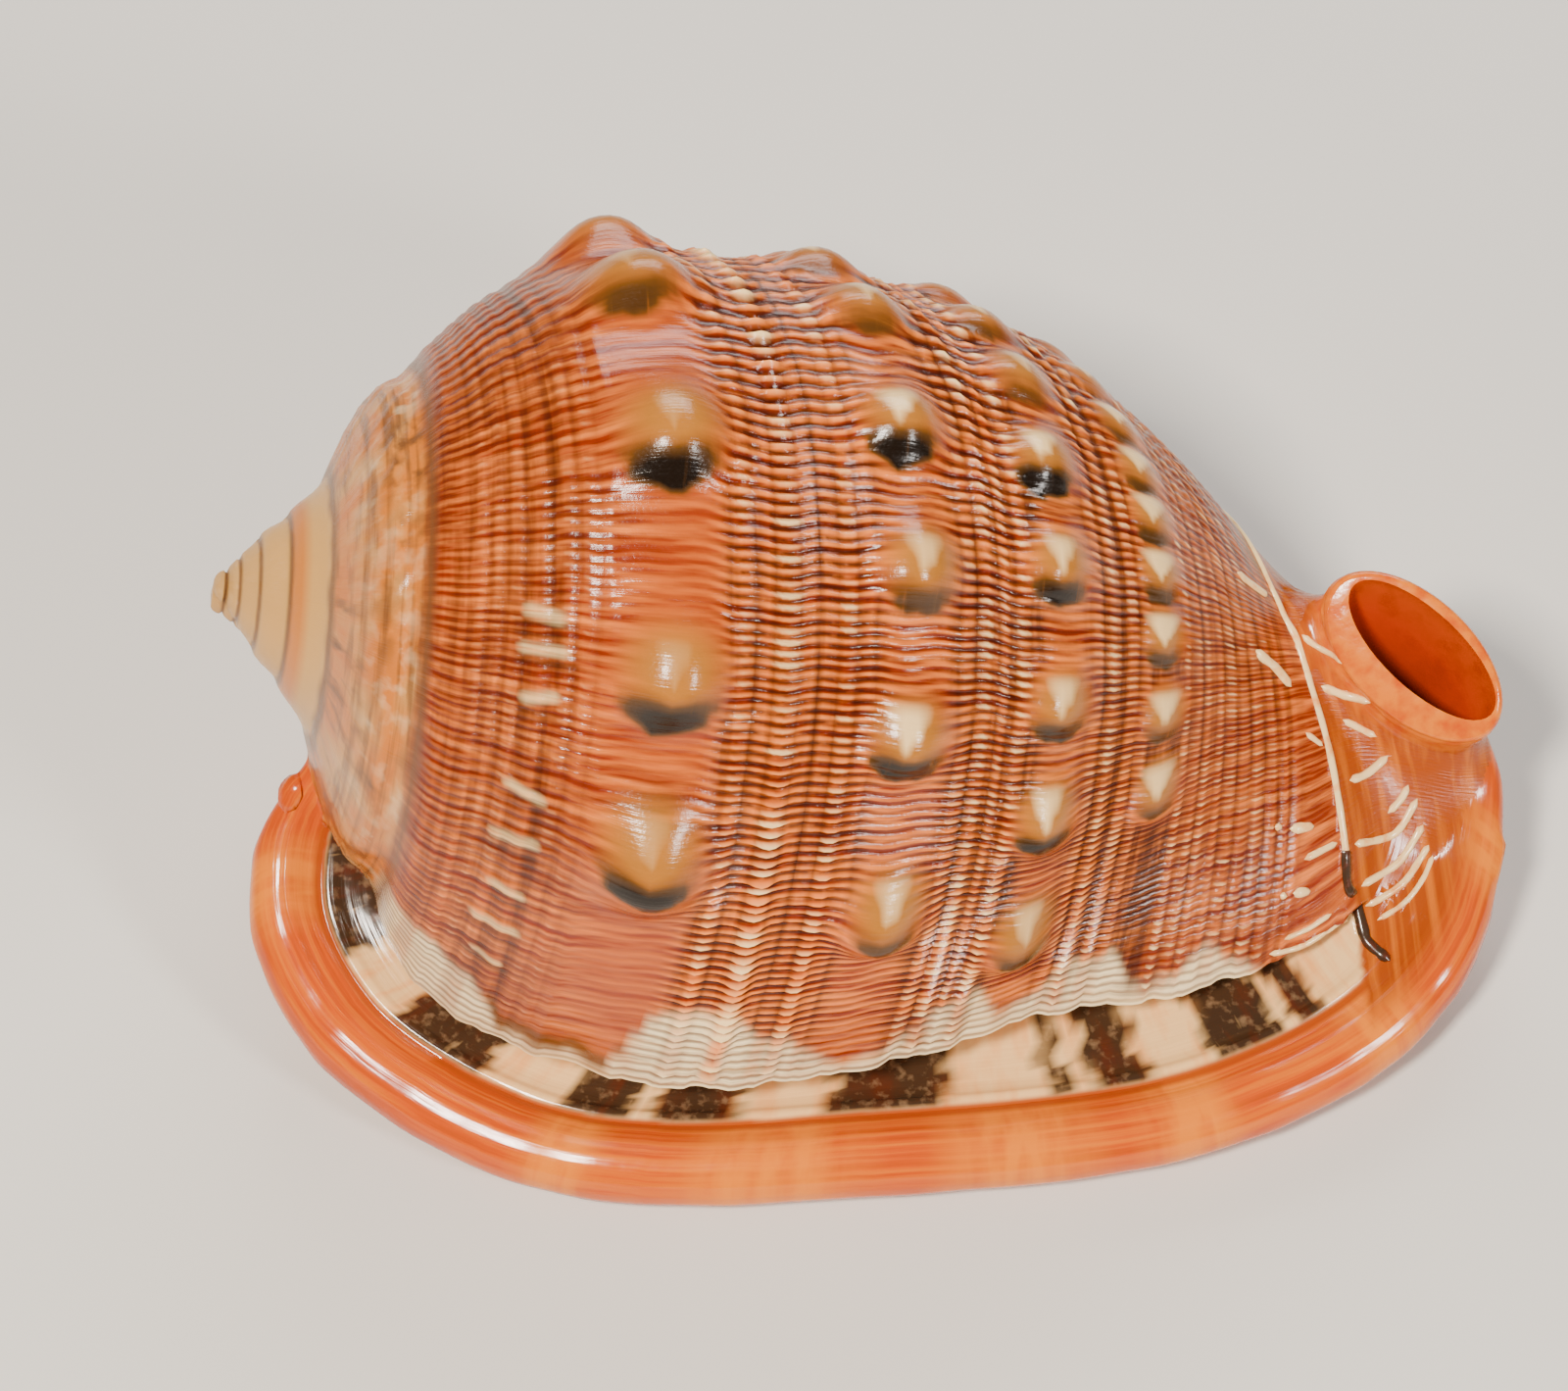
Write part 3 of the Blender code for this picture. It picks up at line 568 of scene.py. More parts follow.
def surface_fields(angle, along, radius):
    """Fields of the last whorl's surface: relief in mm and the masks that its colours read."""
    row, column = row_of(angle, along), column_of(angle, along)
    phase = thread_phase(column, row)
    ridge = 0.5 + 0.5 * np.cos(2.0 * np.pi * phase)
    luck = chance(phase)
    knob, near, pale, flame, dark = knob_fields(angle, along, radius)
    bare = (1.0 - 0.9 * smooth((near - 0.08) / 0.6)) * smooth((row - BODY_START) / 1.5)
    late = smooth((column - 96.0) / 10.0)
    weave = np.interp(row, WEAVE[:, 0], WEAVE[:, 1]) * bare * (1.0 - 0.4 * late)
    cord, bead, groove = (np.zeros(row.shape) for _ in range(3))
    for at, half, height, beaded, cream in CORDS:
        across = hump((row - at) / half)
        lumps = 1.0 - beaded + beaded * ridge * (0.5 + 0.9 * luck)
        cord = np.maximum(cord, height * across * lumps)
        bright = 0.12 + 1.3 * chance(phase + 7.0 * at) ** 2
        bead = np.maximum(bead, cream * across ** 1.5 * ridge ** 2.5 * bright)
        groove = np.maximum(groove, across)
    groove = (1.0 - groove) * np.interp(row, GROOVES[:, 0], GROOVES[:, 1]) * bare
    dash, after = np.zeros(row.shape), np.zeros(row.shape)
    for from_angle, from_along, to_angle, to_along, half in DASHES:
        run, turn = to_along - from_along, np.radians(to_angle - from_angle) * radius
        beside, arc = along - from_along, np.radians(angle - from_angle) * radius
        share = np.clip((beside * run + arc * turn) / (run ** 2 + turn ** 2), 0.0, 1.0)
        off = ((beside - share * run) ** 2 + (arc - share * turn) ** 2) / half ** 2
        dash = np.maximum(dash, np.exp(-off))
        luck_here = chance(from_angle)
        below = ((beside - share * run) / (0.7 + luck_here)) ** 2 + ((arc - 2.0 * half) / (1.3 * half)) ** 2
        after = np.maximum(after, (0.5 + 0.5 * luck_here) * np.exp(-below ** 1.5))
    return {
        "row": row, "column": column, "phase": phase, "ridge": ridge, "weave": weave, "cord": cord * bare,
        "bead": bead * bare, "groove": groove, "dash": dash, "spot": after, "knob": knob, "knob_near": near,
        "knob_pale": pale, "knob_flame": flame, "knob_dark_and_shade": dark}


def on_callus(angle, along, softness):
    """1 on the glaze that covers the parietal side, easing to 0 over some degrees at its edge."""
    edge = CALLUS_EDGE - CALLUS_CURVE * ((along - CALLUS_MIDDLE) / (0.5 * CALLUS_LENGTH)) ** 2
    return smooth((edge - angle) / softness) * smooth((BODY_END - 9.0 - along) / 8.0)


def whorl_radius(angle, along, sizes):
    """Radius of the shell before the underside is levelled, with its fine relief."""
    grown = SPIRE_GROWTH + (GROWTH - SPIRE_GROWTH) * smooth((along - BODY_START) / 8.0)
    profile = through(PROFILE, along)[..., 0]
    blunt = 1.0 - np.clip(along / TIP[0], 0.0, 1.0)
    profile = np.where(along < TIP[0], TIP[1] * np.sqrt(1.0 - blunt ** 2), profile)
    base = profile * np.exp(grown * np.radians(angle))
    crest = through(CREST, along)
    crest_radius, crest_angle = crest[..., 0], crest[..., 1]
    on_body = smooth((along - BODY_START) / 0.6 + 0.5)
    power = np.interp(along, *FLARE_POWER)
    reach = np.clip((angle - FLARE_START) / (crest_angle - FLARE_START), 0.0, 1.0)
    lift = crest_radius - profile * np.exp(grown * np.radians(crest_angle))
    radius = base + lift * reach ** power * on_body
    past = angle - crest_angle
    radius -= CREST_DROP * smooth(past / 2.0) * on_body
    radius -= (lift - CREST_DROP) * smooth((past - 2.0) / CREST_FALL_ANGLE) * on_body
    fields = surface_fields(angle, along, radius)
    shown = smooth(-past / 6.0)
    radius += fields["knob"] * shown
    for place, step, recovery in SUTURES:
        crisp = smooth((place + SUTURE_WANDER * wander(angle) - along) / 0.35)
        radius -= step * crisp * smooth((along - place + recovery) / (0.8 * recovery))
    glazed = on_callus(angle, along, 6.0)
    fine = sizes.thread_height / MM * fields["weave"] * (fields["ridge"] - 0.5)
    fine += sizes.cord_scale * fields["cord"] + 0.25 * fields["dash"]
    fine *= smooth(-past / 2.0) * (1.0 - glazed) * on_body * smooth((124.0 - along) / 5.0)
    fine += sizes.crest_frill / MM * (0.5 * ripple(along, 7.0) + 0.2 * ripple(along, 2.6, 1.0)) * (
        np.exp(-((angle - crest_angle) / 5.0) ** 2) * on_body)
    on_spire = (1.0 - on_body) * smooth((along - SUTURES[2][0]) / 1.5)
    fine += on_spire * (0.2 * ripple(fields["column"] + 3.0 * along, 8.0) + 0.12 * ripple(along, 1.4))
    for seam, after in zip(SEAMS, SEAMS[1:] + (BODY_START,)):
        fine += 0.05 * (after - seam) * np.sin(np.pi * np.clip((along - seam) / (after - seam), 0.0, 1.0))
    return radius + CALLUS * glazed + fine - 0.3 * spire_seams(angle, along)


def spire_seams(angle, along):
    """1 along each seam of the spire, less along its thin spiral lines."""
    wavy = along - SUTURE_WANDER * wander(angle) * smooth((along - 6.0) / 5.0)
    seam = sum(hump((wavy - place) / (0.16 + 0.012 * place)) for place in SEAMS)
    seam += hump((along - BODY_START - 0.1) / 0.35)
    return seam + 0.6 * sum(hump((wavy - place) / 0.25) for place in SPIRE_LINES)


def body_radius(angle, along, sizes):
    """Radius of the finished outside: lip side and parietal side met, underside levelled."""
    joined = smooth((angle - JOIN_ANGLES[0]) / (JOIN_ANGLES[1] - JOIN_ANGLES[0]))
    radius = whorl_radius(angle, along, sizes)
    radius = radius + joined * (whorl_radius(angle - 360.0, along, sizes) - radius)
    down = -np.cos(np.radians(angle)) * TOP[2]
    around = (angle + 360.0) % 360.0 - 180.0
    floor = (FLOOR + FLOOR_RISE_ALONG * (along - FLOOR_MIDDLE) ** 2
             + FLOOR_RISE_AROUND * np.clip(np.abs(around) - FLOOR_FLAT, 0.0, 50.0) ** 2)
    room = (APEX[2] + along * AXIS[2] - floor) / np.maximum(down, 0.05)
    gap = np.clip((radius - room) / FLOOR_SOFTNESS, -30.0, 30.0)
    return radius - FLOOR_SOFTNESS * np.log1p(np.exp(gap))


def body_points(sizes):
    """Rows of points from the apex to the front end, each following the threads' columns."""
    seams = np.array(SEAMS + SPIRE_LINES)[:, None] + np.array((-0.3, 0.0, 0.3))
    stretches = [np.arange(*stretch) for stretch in MESH_ROWS]
    rows = np.unique(np.concatenate((TIP_ROWS, seams.ravel(), *stretches, (BODY_END,))))
    rows = rows[np.concatenate(((True,), np.diff(rows) > CLOSEST_ROWS))]
    first, coarse, middle, last = thread_count(np.array(THREADED_COLUMNS))
    whole = np.arange(np.ceil(first), last)
    cuts = [np.arange(0.0, 1.0, 1.0 / (5.0 if number < coarse else 4.0 if number < middle else 3.0))
            for number in whole]
    ticks = np.concatenate([number + cut for number, cut in zip(whole, cuts)])
    scale = np.arange(-200.0, 180.0, 0.05)
    crossed = thread_count(scale)
    columns = np.concatenate((
        np.arange(-190.0, -105.0, 5.0), np.interp(ticks, crossed, scale),
        CREST_MESH_COLUMNS, np.arange(121.0, 168.0, 5.0)))
    column, row = np.meshgrid(columns, rows)
    column = np.interp(thread_count(column) - wobble(column, row), crossed, scale)
    along = row
    for _ in range(3):
        along = along_of(angle_of(column, along), row)
    angle = angle_of(column, along)
    return coil_point(angle, along, body_radius(angle, along, sizes))


def lip_points(stations, sizes):
    """Closed sections of the outer lip: rolled rim, groove, channel and buried foot."""
    count = len(LIP_PATH)
    keys = np.column_stack((np.arange(count), LIP_PATH))
    where = np.linspace(0.0, count - 1.0, stations)
    outer_foot = through(keys, where)
    fill = through(CHANNEL_FILL, where)[:, 0]
    sections = []
    for (x, y, z, foot_x, foot_y), filled, place in zip(outer_foot, fill, where):
        depth = np.hypot(foot_x - x, foot_y - y)
        inward = np.array((foot_x - x, foot_y - y)) / depth
        lifted = max(z - ROLL_RADIUS, 0.0)
        floor_in = np.linspace(0.7 * depth, LIP_FLOOR_START, 6)
        floor_up = np.linspace(FLOOR + 0.75 * lifted, FLOOR + 0.95 * lifted, 6)
        roll = np.radians(np.linspace(*ROLL_ANGLES, 26))
        lines = ripple(roll * ROLL_RADIUS, 0.9, 0.2 * place)
        wide = ROLL_RADIUS + sizes.rim_lines / MM * lines + 0.1 * ripple(place, 0.9)
        roll_in = ROLL_RADIUS - wide * np.cos(roll)
        roll_up = z + wide * np.sin(roll)
        top_in = np.array((*CHANNEL_INWARD, 0.8 * depth, depth))
        top_up = z + (1.0 - filled) * np.array(CHANNEL_OPEN) + filled * np.array(CHANNEL_FILLED)
        top = through(np.column_stack((np.arange(6.0), top_in, top_up)), np.linspace(0.0, 5.0, 26))
        top[1:, 1] += 0.07 * ripple(top[1:, 0] * 0.9, 1.1, 0.3 * place)
        foot_up = min(floor_up[0] + 1.0, z)
        into = np.concatenate((floor_in, roll_in, top[:, 0], (depth,)))
        up = np.concatenate((floor_up, roll_up, top[:, 1], (foot_up,)))
        sections.append(np.column_stack((x + inward[0] * into, y + inward[1] * into, up)))
    return np.array(sections)


def oval_points(keys, stations, sides):
    """Oval sections read between keys of centre, long half-axis and short half-axis."""
    count = len(keys)
    keys = np.column_stack((np.arange(count), keys.reshape(count, 9)))
    turn = np.linspace(0.0, 2.0 * np.pi, sides, endpoint=False)[:, None]
    sections = []
    for row in through(keys, np.linspace(0.0, count - 1.0, stations)):
        centre, long_half, short_half = row.reshape(3, 3)
        sections.append(centre + np.cos(turn) * long_half + np.sin(turn) * short_half)
    return np.array(sections)


def canal_points():
    """The outside of the canal with its growth lines, its mouth's edge rounded over."""
    sides = 72
    sections = oval_points(CANAL, 61, sides)
    centre = sections.mean(axis=1, keepdims=True)
    station = np.linspace(0.0, 5.0, 61)[:, None]
    swell = 1.0 + 0.008 * ripple(station * 6.0, 1.1) * smooth(station / 2.0)
    sections = centre + (sections - centre) * swell[..., None]
    mouth = sections[-1]
    middle = mouth.mean(axis=0)
    out = np.cross(mouth[sides // 4] - mouth[0], mouth[sides // 2] - mouth[sides // 4])
    out *= np.sign(out[2]) / np.linalg.norm(out)
    edge = [middle + (mouth - middle) * (1.0 - 0.07 * lean ** 2) + 0.9 * np.sin(lean * np.pi / 2.0) * out
            for lean in (0.35, 0.7, 1.0)]
    return np.concatenate((sections, edge))


def chamber_points():
    """Crescent sections of the living chamber, from its inner end to the slot."""
    first, last = CHAMBER_ANGLES
    turn = np.linspace(0.0, 2.0 * np.pi, 32, endpoint=False)
    sections = []
    for angle in np.linspace(first, last, 34):
        opened = smooth((angle - first) / CHAMBER_OPENING)
        half_length = np.interp(opened, (0.0, 1.0), CHAMBER_HALF_LENGTH)
        depth = np.interp(opened, (0.0, 1.0), CHAMBER_DEPTH)
        along = CHAMBER_MIDDLE - half_length * np.cos(turn)
        outer = through(PROFILE, along)[:, 0] * np.exp(GROWTH * np.radians(angle)) - WALL
        down = max(-np.cos(np.radians(angle)) * TOP[2], 0.05)
        outer = np.minimum(outer, (APEX[2] + along * AXIS[2] - WALL) / down)
        sections.append(coil_point(angle, along, outer - 0.5 * depth * (1.0 - np.sin(turn))))
    return np.array(sections)


def slot_middle(x):
    """Y of the slot's middle line."""
    return SLOT_Y + SLOT_BEND * x * x


def tooth_wave(at):
    """1 on each tooth and 0 between teeth, counted along the slot."""
    return 0.5 - 0.5 * np.cos(2.0 * np.pi * at)


def slot_points():
    """Sections across the slot, grooved between the teeth of the lip and the folds opposite."""
    below = FLOOR - 0.8
    chamfer = (
        (1.0, 0.0, below), (0.5, 0.0, 0.25 * EDGE_DEPTH), (0.0, 0.4, 0.8 * EDGE_DEPTH),
        (0.0, 0.0, 1.7 * EDGE_DEPTH), (0.0, 0.0, SLOT_TOP))
    sections = []
    stations = 10 * SLOT_TEETH + 1
    for at, x in zip(np.linspace(0.0, SLOT_TEETH, stations), np.linspace(*SLOT_ENDS, stations)):
        taper = 1.0 - SLOT_TAPER * (abs(x) / SLOT_ENDS[1]) ** 4
        tooth, fold = tooth_wave(at) ** 0.7, tooth_wave(at) ** 0.8
        near = slot_middle(x) - SLOT_HALF_WIDTH * taper + TOOTH * tooth
        far = slot_middle(x) + SLOT_HALF_WIDTH * taper - FOLD * fold
        least, most = EDGE_REACH
        reach_near, reach_far = least + (most * taper - least) * (1.0 - np.array((tooth, fold)))
        rise = [(x, near - share * reach_near - more, z) for share, more, z in chamfer]
        fall = [(x, far + share * reach_far + more, z) for share, more, z in reversed(chamfer)]
        sections.append(rise + fall)
    return np.array(sections)


def put_in_scene(name, data, material):
    """Put a mesh into the scene as an object of one material."""
    data.materials.append(bpy.data.materials[material])
    made = bpy.data.objects.new(name, data)
    bpy.context.scene.collection.objects.link(made)
    return made


def solid(name, sections, tips, material):
    """Skin closed rings of points into one solid, ending in given tips, or flat without them."""
    count, sides = sections.shape[:2]
    if tips is None:
        tips = sections[0].mean(axis=0), sections[-1].mean(axis=0)
    points = np.concatenate((sections.reshape(-1, 3), np.array(tips)))
    start = np.arange(count - 1)[:, None] * sides
    side = np.arange(sides)[None, :]
    after = (side + 1) % sides
    quads = np.stack((start + side, start + after, start + sides + after, start + sides + side), -1)
    first, last = count * sides, count * sides + 1
    ring = (count - 1) * sides
    caps = [(int(j), int(i), first) for i, j in zip(side[0], after[0])]
    caps += [(int(ring + i), int(ring + j), last) for i, j in zip(side[0], after[0])]
    data = bpy.data.meshes.new(name)
    data.from_pydata(((points - MIDDLE) * MM).tolist(), [], quads.reshape(-1, 4).tolist() + caps)
    mesh = bmesh.new()
    mesh.from_mesh(data)
    bmesh.ops.recalc_face_normals(mesh, faces=mesh.faces)
    mesh.to_mesh(data)
    mesh.free()
    return put_in_scene(name, data, material)


def below_the_floor():
    """A box whose top is the floor, to cut the flats that the shell rests on."""
    mesh = bmesh.new()
    bmesh.ops.create_cube(mesh, size=1.0)
    side, deep = 200.0 * MM, 20.0 * MM
    bmesh.ops.scale(mesh, vec=(side, side, deep), verts=mesh.verts)
    bmesh.ops.translate(mesh, vec=(0.0, 0.0, -deep / 2.0), verts=mesh.verts)
    data = bpy.data.meshes.new("floor_cut")
    mesh.to_mesh(data)
    mesh.free()
    return put_in_scene("floor_cut", data, "rolled_lip_enamel")


def combine(target, other, operation):
    """Join another solid to the target or cut it out, for good."""
    modifier = target.modifiers.new(other.name, "BOOLEAN")
    modifier.operation = operation
    modifier.solver = "MANIFOLD"
    modifier.material_mode = "TRANSFER"
    modifier.object = other
    result = bpy.data.meshes.new_from_object(target.evaluated_get(bpy.context.evaluated_depsgraph_get()))
    if not result.polygons:
        raise RuntimeError(f"{other.name} could not be combined with {target.name}")
    target.modifiers.clear()
    target.data = result
    bpy.data.objects.remove(other, do_unlink=True)


def soften_joins(data, rings):
    """Round over the lines where the lip and the canal grow out of the whorl, the canal's most."""
    mesh = bmesh.new()
    mesh.from_mesh(data)
    slots = {slot.name: index for index, slot in enumerate(data.materials)}
    inside, canal = slots["chamber_lining"], slots["siphon_enamel"]
    for spread, passes, canal_only in ((4 * rings, 60, True), (rings, 8, False)):
        near = set()
        for edge in mesh.edges:
            kinds = {face.material_index for face in edge.link_faces}
            high = min(vert.co.z for vert in edge.verts) > 4.0 * MM * canal_only
            if len(kinds) > 1 and inside not in kinds and high and (canal in kinds or not canal_only):
                near.update(edge.verts)
        for _ in range(spread):
            near.update(edge.other_vert(vert) for vert in list(near) for edge in vert.link_edges)
        near = [vert for vert in near if vert.co.z > 0.4 * MM
                and all(face.material_index != inside for face in vert.link_faces)]
        for _ in range(passes):
            bmesh.ops.smooth_vert(
                mesh, verts=near, factor=0.5, use_axis_x=True, use_axis_y=True, use_axis_z=True)
    for face in mesh.faces:
        centre = np.array(face.calc_center_median()) / MM + MIDDLE
        if face.material_index == canal and under_mouth(centre) > CANAL_BAND[1]:
            face.material_index = slots["ribbed_outer_layer"]
    mesh.to_mesh(data)
    mesh.free()


def under_mouth(points):
    """Distance in millimetres of points from the canal's mouth, down from its plane and out from its edge."""
    middle, wide, narrow = CANAL[-1]
    rel, out = points - middle, np.cross(wide, narrow)
    down = rel @ out * -np.sign(out[2]) / np.linalg.norm(out)
    share = np.hypot(rel @ wide / (wide @ wide), rel @ narrow / (narrow @ narrow))
    return down + np.linalg.norm(narrow) * np.maximum(share - 1.03, 0.0)


def ridge_points(surface, half, points, raised):
    """Sections of a low ridge with rounded ends that follows the surface past some points."""
    points = np.array(points, float)
    count = len(points)
    keys = np.column_stack((np.arange(count), points))
    long = np.linalg.norm(np.diff(points, axis=0), axis=1).sum()
    at = np.linspace(0.0, count - 1.0, max(9, int(long / 0.5)))
    found = [surface.find_nearest(((point - MIDDLE) * MM).tolist()) for point in through(keys, at)]
    centre = np.array([spot[0] for spot in found]) / MM + MIDDLE
    normal = np.array([spot[1] for spot in found])
    for line in (centre, normal, centre, normal, centre, normal):
        line[1:-1] = (line[:-2] + 2.0 * line[1:-1] + line[2:]) / 4.0
    ahead = np.gradient(centre, axis=0)
    ahead /= np.linalg.norm(ahead, axis=1)[:, None]
    across = np.cross(ahead, normal)
    across /= np.linalg.norm(across, axis=1)[:, None]
    gone = np.concatenate(((0.0,), np.cumsum(np.linalg.norm(np.diff(centre, axis=0), axis=1))))
    cap = 1.0 - np.clip(np.minimum(gone, gone[-1] - gone) / (1.8 * half), 0.0, 1.0)
    taper = (0.15 + 0.85 * np.sqrt(1.0 - cap ** 2)) * (1.0 + 0.1 * ripple(at, 0.9))
    full = half * taper[:, None, None]
    ends = centre[[0, -1]] + ahead[[0, -1]] * 0.2 * half * np.array((-1.0, 1.0))[:, None]
    turn = np.linspace(0.0, 2.0 * np.pi, 8, endpoint=False)[None, :, None]
    section = np.cos(turn) * across[:, None] + raised * np.sin(turn) * normal[:, None]
    return centre[:, None] + full * section, ends


def add_lines(shell):
    """Fuse the raised lines and the lump to the shell, each lying on its surface."""
    mesh = bmesh.new()
    mesh.from_mesh(shell.data)
    surface = mathutils.bvhtree.BVHTree.FromBMesh(mesh)
    mesh.free()
    angle, along = GROWTH_LINE[:, 0], GROWTH_LINE[:, 1]
    growth = coil_point(angle, along, body_radius(angle, along, bpy.context.scene.helmet_sizes))
    half, *into_lip = DARK_LINE
    kinds = (
        ("cream_enamel", 0.75, ((0.45, *growth[:-1]),)), ("cream_enamel", 0.75, CREAM_LINES),
        ("dark_enamel", 0.7, ((half, *growth[-3:], *into_lip),)), ("rolled_lip_enamel", 0.6, (LUMP,)))
    for material, raised, lines in kinds:
        pieces = [solid("line", *ridge_points(surface, half, points, raised), material)
                  for half, *points in lines]
        combine(shell, join(pieces), "UNION")


def join(pieces):
    """One object that holds the meshes of several pieces that don't touch."""
    mesh = bmesh.new()
    for piece in pieces:
        mesh.from_mesh(piece.data)
    mesh.to_mesh(pieces[0].data)
    mesh.free()
    for piece in pieces[1:]:
        bpy.data.objects.remove(piece, do_unlink=True)
    return pieces[0]


def lip_place(points):
    """Place along the lip's path of points in space, and how far in from its rim and over it they lie."""
    count = len(LIP_PATH)
    fine = np.linspace(0.0, count - 1.0, 541)
    batch = 4000
    path = through(np.column_stack((np.arange(count), LIP_PATH)), fine)
    rim, inward = path[:, :2], path[:, 3:] - path[:, :2]
    inward /= np.linalg.norm(inward, axis=1)[:, None]
    place, into, above = (np.zeros(len(points)) for _ in range(3))
    for start in range(0, len(points), batch):
        part = slice(start, start + batch)
        rel = points[part, None, :2] - rim[None]
        deep = np.einsum("ijk,jk->ij", rel, inward)
        off = np.abs(rel[..., 0] * inward[:, 1] - rel[..., 1] * inward[:, 0])
        off += 50.0 * ((deep < -6.0) | (deep > 36.0))
        best = off.argmin(axis=1)
        pick = np.arange(len(best))
        place[part], into[part] = fine[best], deep[pick, best]
        above[part] = points[part, 2] - path[best, 2]
    return place, into, above


def crest_marks(row, column):
    """Strength of the crest's white and of the dark pocket at its edge."""
    start = np.interp(row, CREST_EDGE[:, 0], CREST_EDGE[:, 1]) + ripple(row, 5.0)
    behind = smooth((CREST_COLUMN - column) / 3.0)
    crest = smooth((column - start) / 3.5)
    crest *= 1.0 - 0.35 * smooth(2.5 * ripple(row, 4.3, 0.8)) * behind
    for at in CREST_BEADS:
        crest *= 1.0 - (0.6 + 0.4 * chance(at)) * hump((row - at) / 1.2) * behind
    pocket = hump((column - start - 0.5) / 1.8) * smooth((row - 28.0) / 3.0) * smooth((44.0 - row) / 2.0)
    return crest, pocket


def lip_marks(points):
    """Place on the lip, and the strength of its channel, its dark blocks and its paler patches."""
    place, into, above = lip_place(points)
    blocks, patches = np.zeros(len(points)), np.zeros(len(points))
    for start, end in BLOCKS:
        edge = place + 0.07 * ripple(into, 5.0, start) + 0.03 * ripple(into, 1.7, end)
        blocks = np.maximum(blocks, smooth((edge - start) / 0.09) * smooth((end - edge) / 0.09))
    for at, half in RIM_PATCHES:
        patches = np.maximum(patches, hump((place - at) / half))
    channel = smooth((into - 8.3) / 0.6) * smooth(above + 1.0) * smooth((14.3 - place) / 0.25)
    return {"place": place, "into": into, "channel": channel, "blocks": blocks * channel, "patches": patches}


def mark_surface(data):
    """Store the fields that the materials read as numbers on each point of the mesh."""
    points = np.empty(len(data.vertices) * 3)
    data.vertices.foreach_get("co", points)
    points = points.reshape(-1, 3) / MM + MIDDLE
    angle, along, radius = coil_place(points)
    marks = surface_fields(angle, along, radius)
    for shape_only in ("ridge", "cord", "knob"):
        del marks[shape_only]
    row, column = marks["row"], marks["column"]
    crest, pocket = crest_marks(row, column)
    beyond = along - np.interp(angle, GROWTH_LINE[:, 0], GROWTH_LINE[:, 1])
    past_line = smooth(beyond / 0.6) * smooth((106.0 - angle) / 4.0)
    glazed = (on_callus(angle, along, 2.0) + smooth((column - 118.0) / 6.0)) * smooth((along - 17.0) / 3.0)
    marks |= {
        "glazed": np.clip(glazed, 0.0, 1.0), "spire": smooth((BODY_START - 0.2 - along) / 0.5),
        "seam": spire_seams(angle, along), "crest": crest * (1.0 - past_line), "pocket": pocket,
        "past_line": past_line, "beyond": beyond, "below_mouth": under_mouth(points), **lip_marks(points)}
    for name, values in marks.items():
        store = data.attributes.new(name, "FLOAT", "POINT")
        store.data.foreach_set("value", np.ascontiguousarray(values, dtype=np.float32))


def add_node(tree, kind, inputs=(), **settings):
    """Add a node with its settings, then set or link its inputs."""
    node = tree.nodes.new(kind)
    for name, value in settings.items():
        setattr(node, name, value)
    for key, value in dict(inputs).items():
        if isinstance(value, bpy.types.NodeSocket):
            tree.links.new(value, node.inputs[key])
        else:
            node.inputs[key].default_value = value
    return node


def start_material(name, pace, detail, fields=()):
    """An empty material, the place on it in mm, its grain and the stored fields of the mesh by name.

    The grain is noise, and its pace is cycles in a millimetre.
    """
    material = bpy.data.materials.new(name)
    material.use_nodes = True
    tree = material.node_tree
    place = add_node(tree, "ShaderNodeTexCoord").outputs["Object"]
    in_mm = add_node(
        tree, "ShaderNodeVectorMath", {0: place, 1: (1.0 / MM,) * 3}, operation="MULTIPLY").outputs[0]
    grain = add_node(
        tree, "ShaderNodeTexNoise", {"Vector": in_mm, "Scale": pace, "Detail": detail}).outputs["Fac"]
    read = {field: add_node(tree, "ShaderNodeAttribute", attribute_name=field).outputs["Fac"]
            for field in fields}
    return tree, in_mm, grain, read


def lay_colours(tree, ground, layers):
    """Lay colours over a ground and give the top one.

    Each layer is its colour, its strength and the fields that it follows, each with the
    value where the colour is gone and the value where it is full.
    """
    for over, share, *fields in layers:
        for field, gone, full in fields:
            share = add_node(
                tree, "ShaderNodeMapRange", {0: field, 1: gone, 2: full, 4: share}).outputs[0]
        ground = add_node(
            tree, "ShaderNodeMix", {0: share, 6: ground, 7: over}, data_type="RGBA").outputs[2]
    return ground


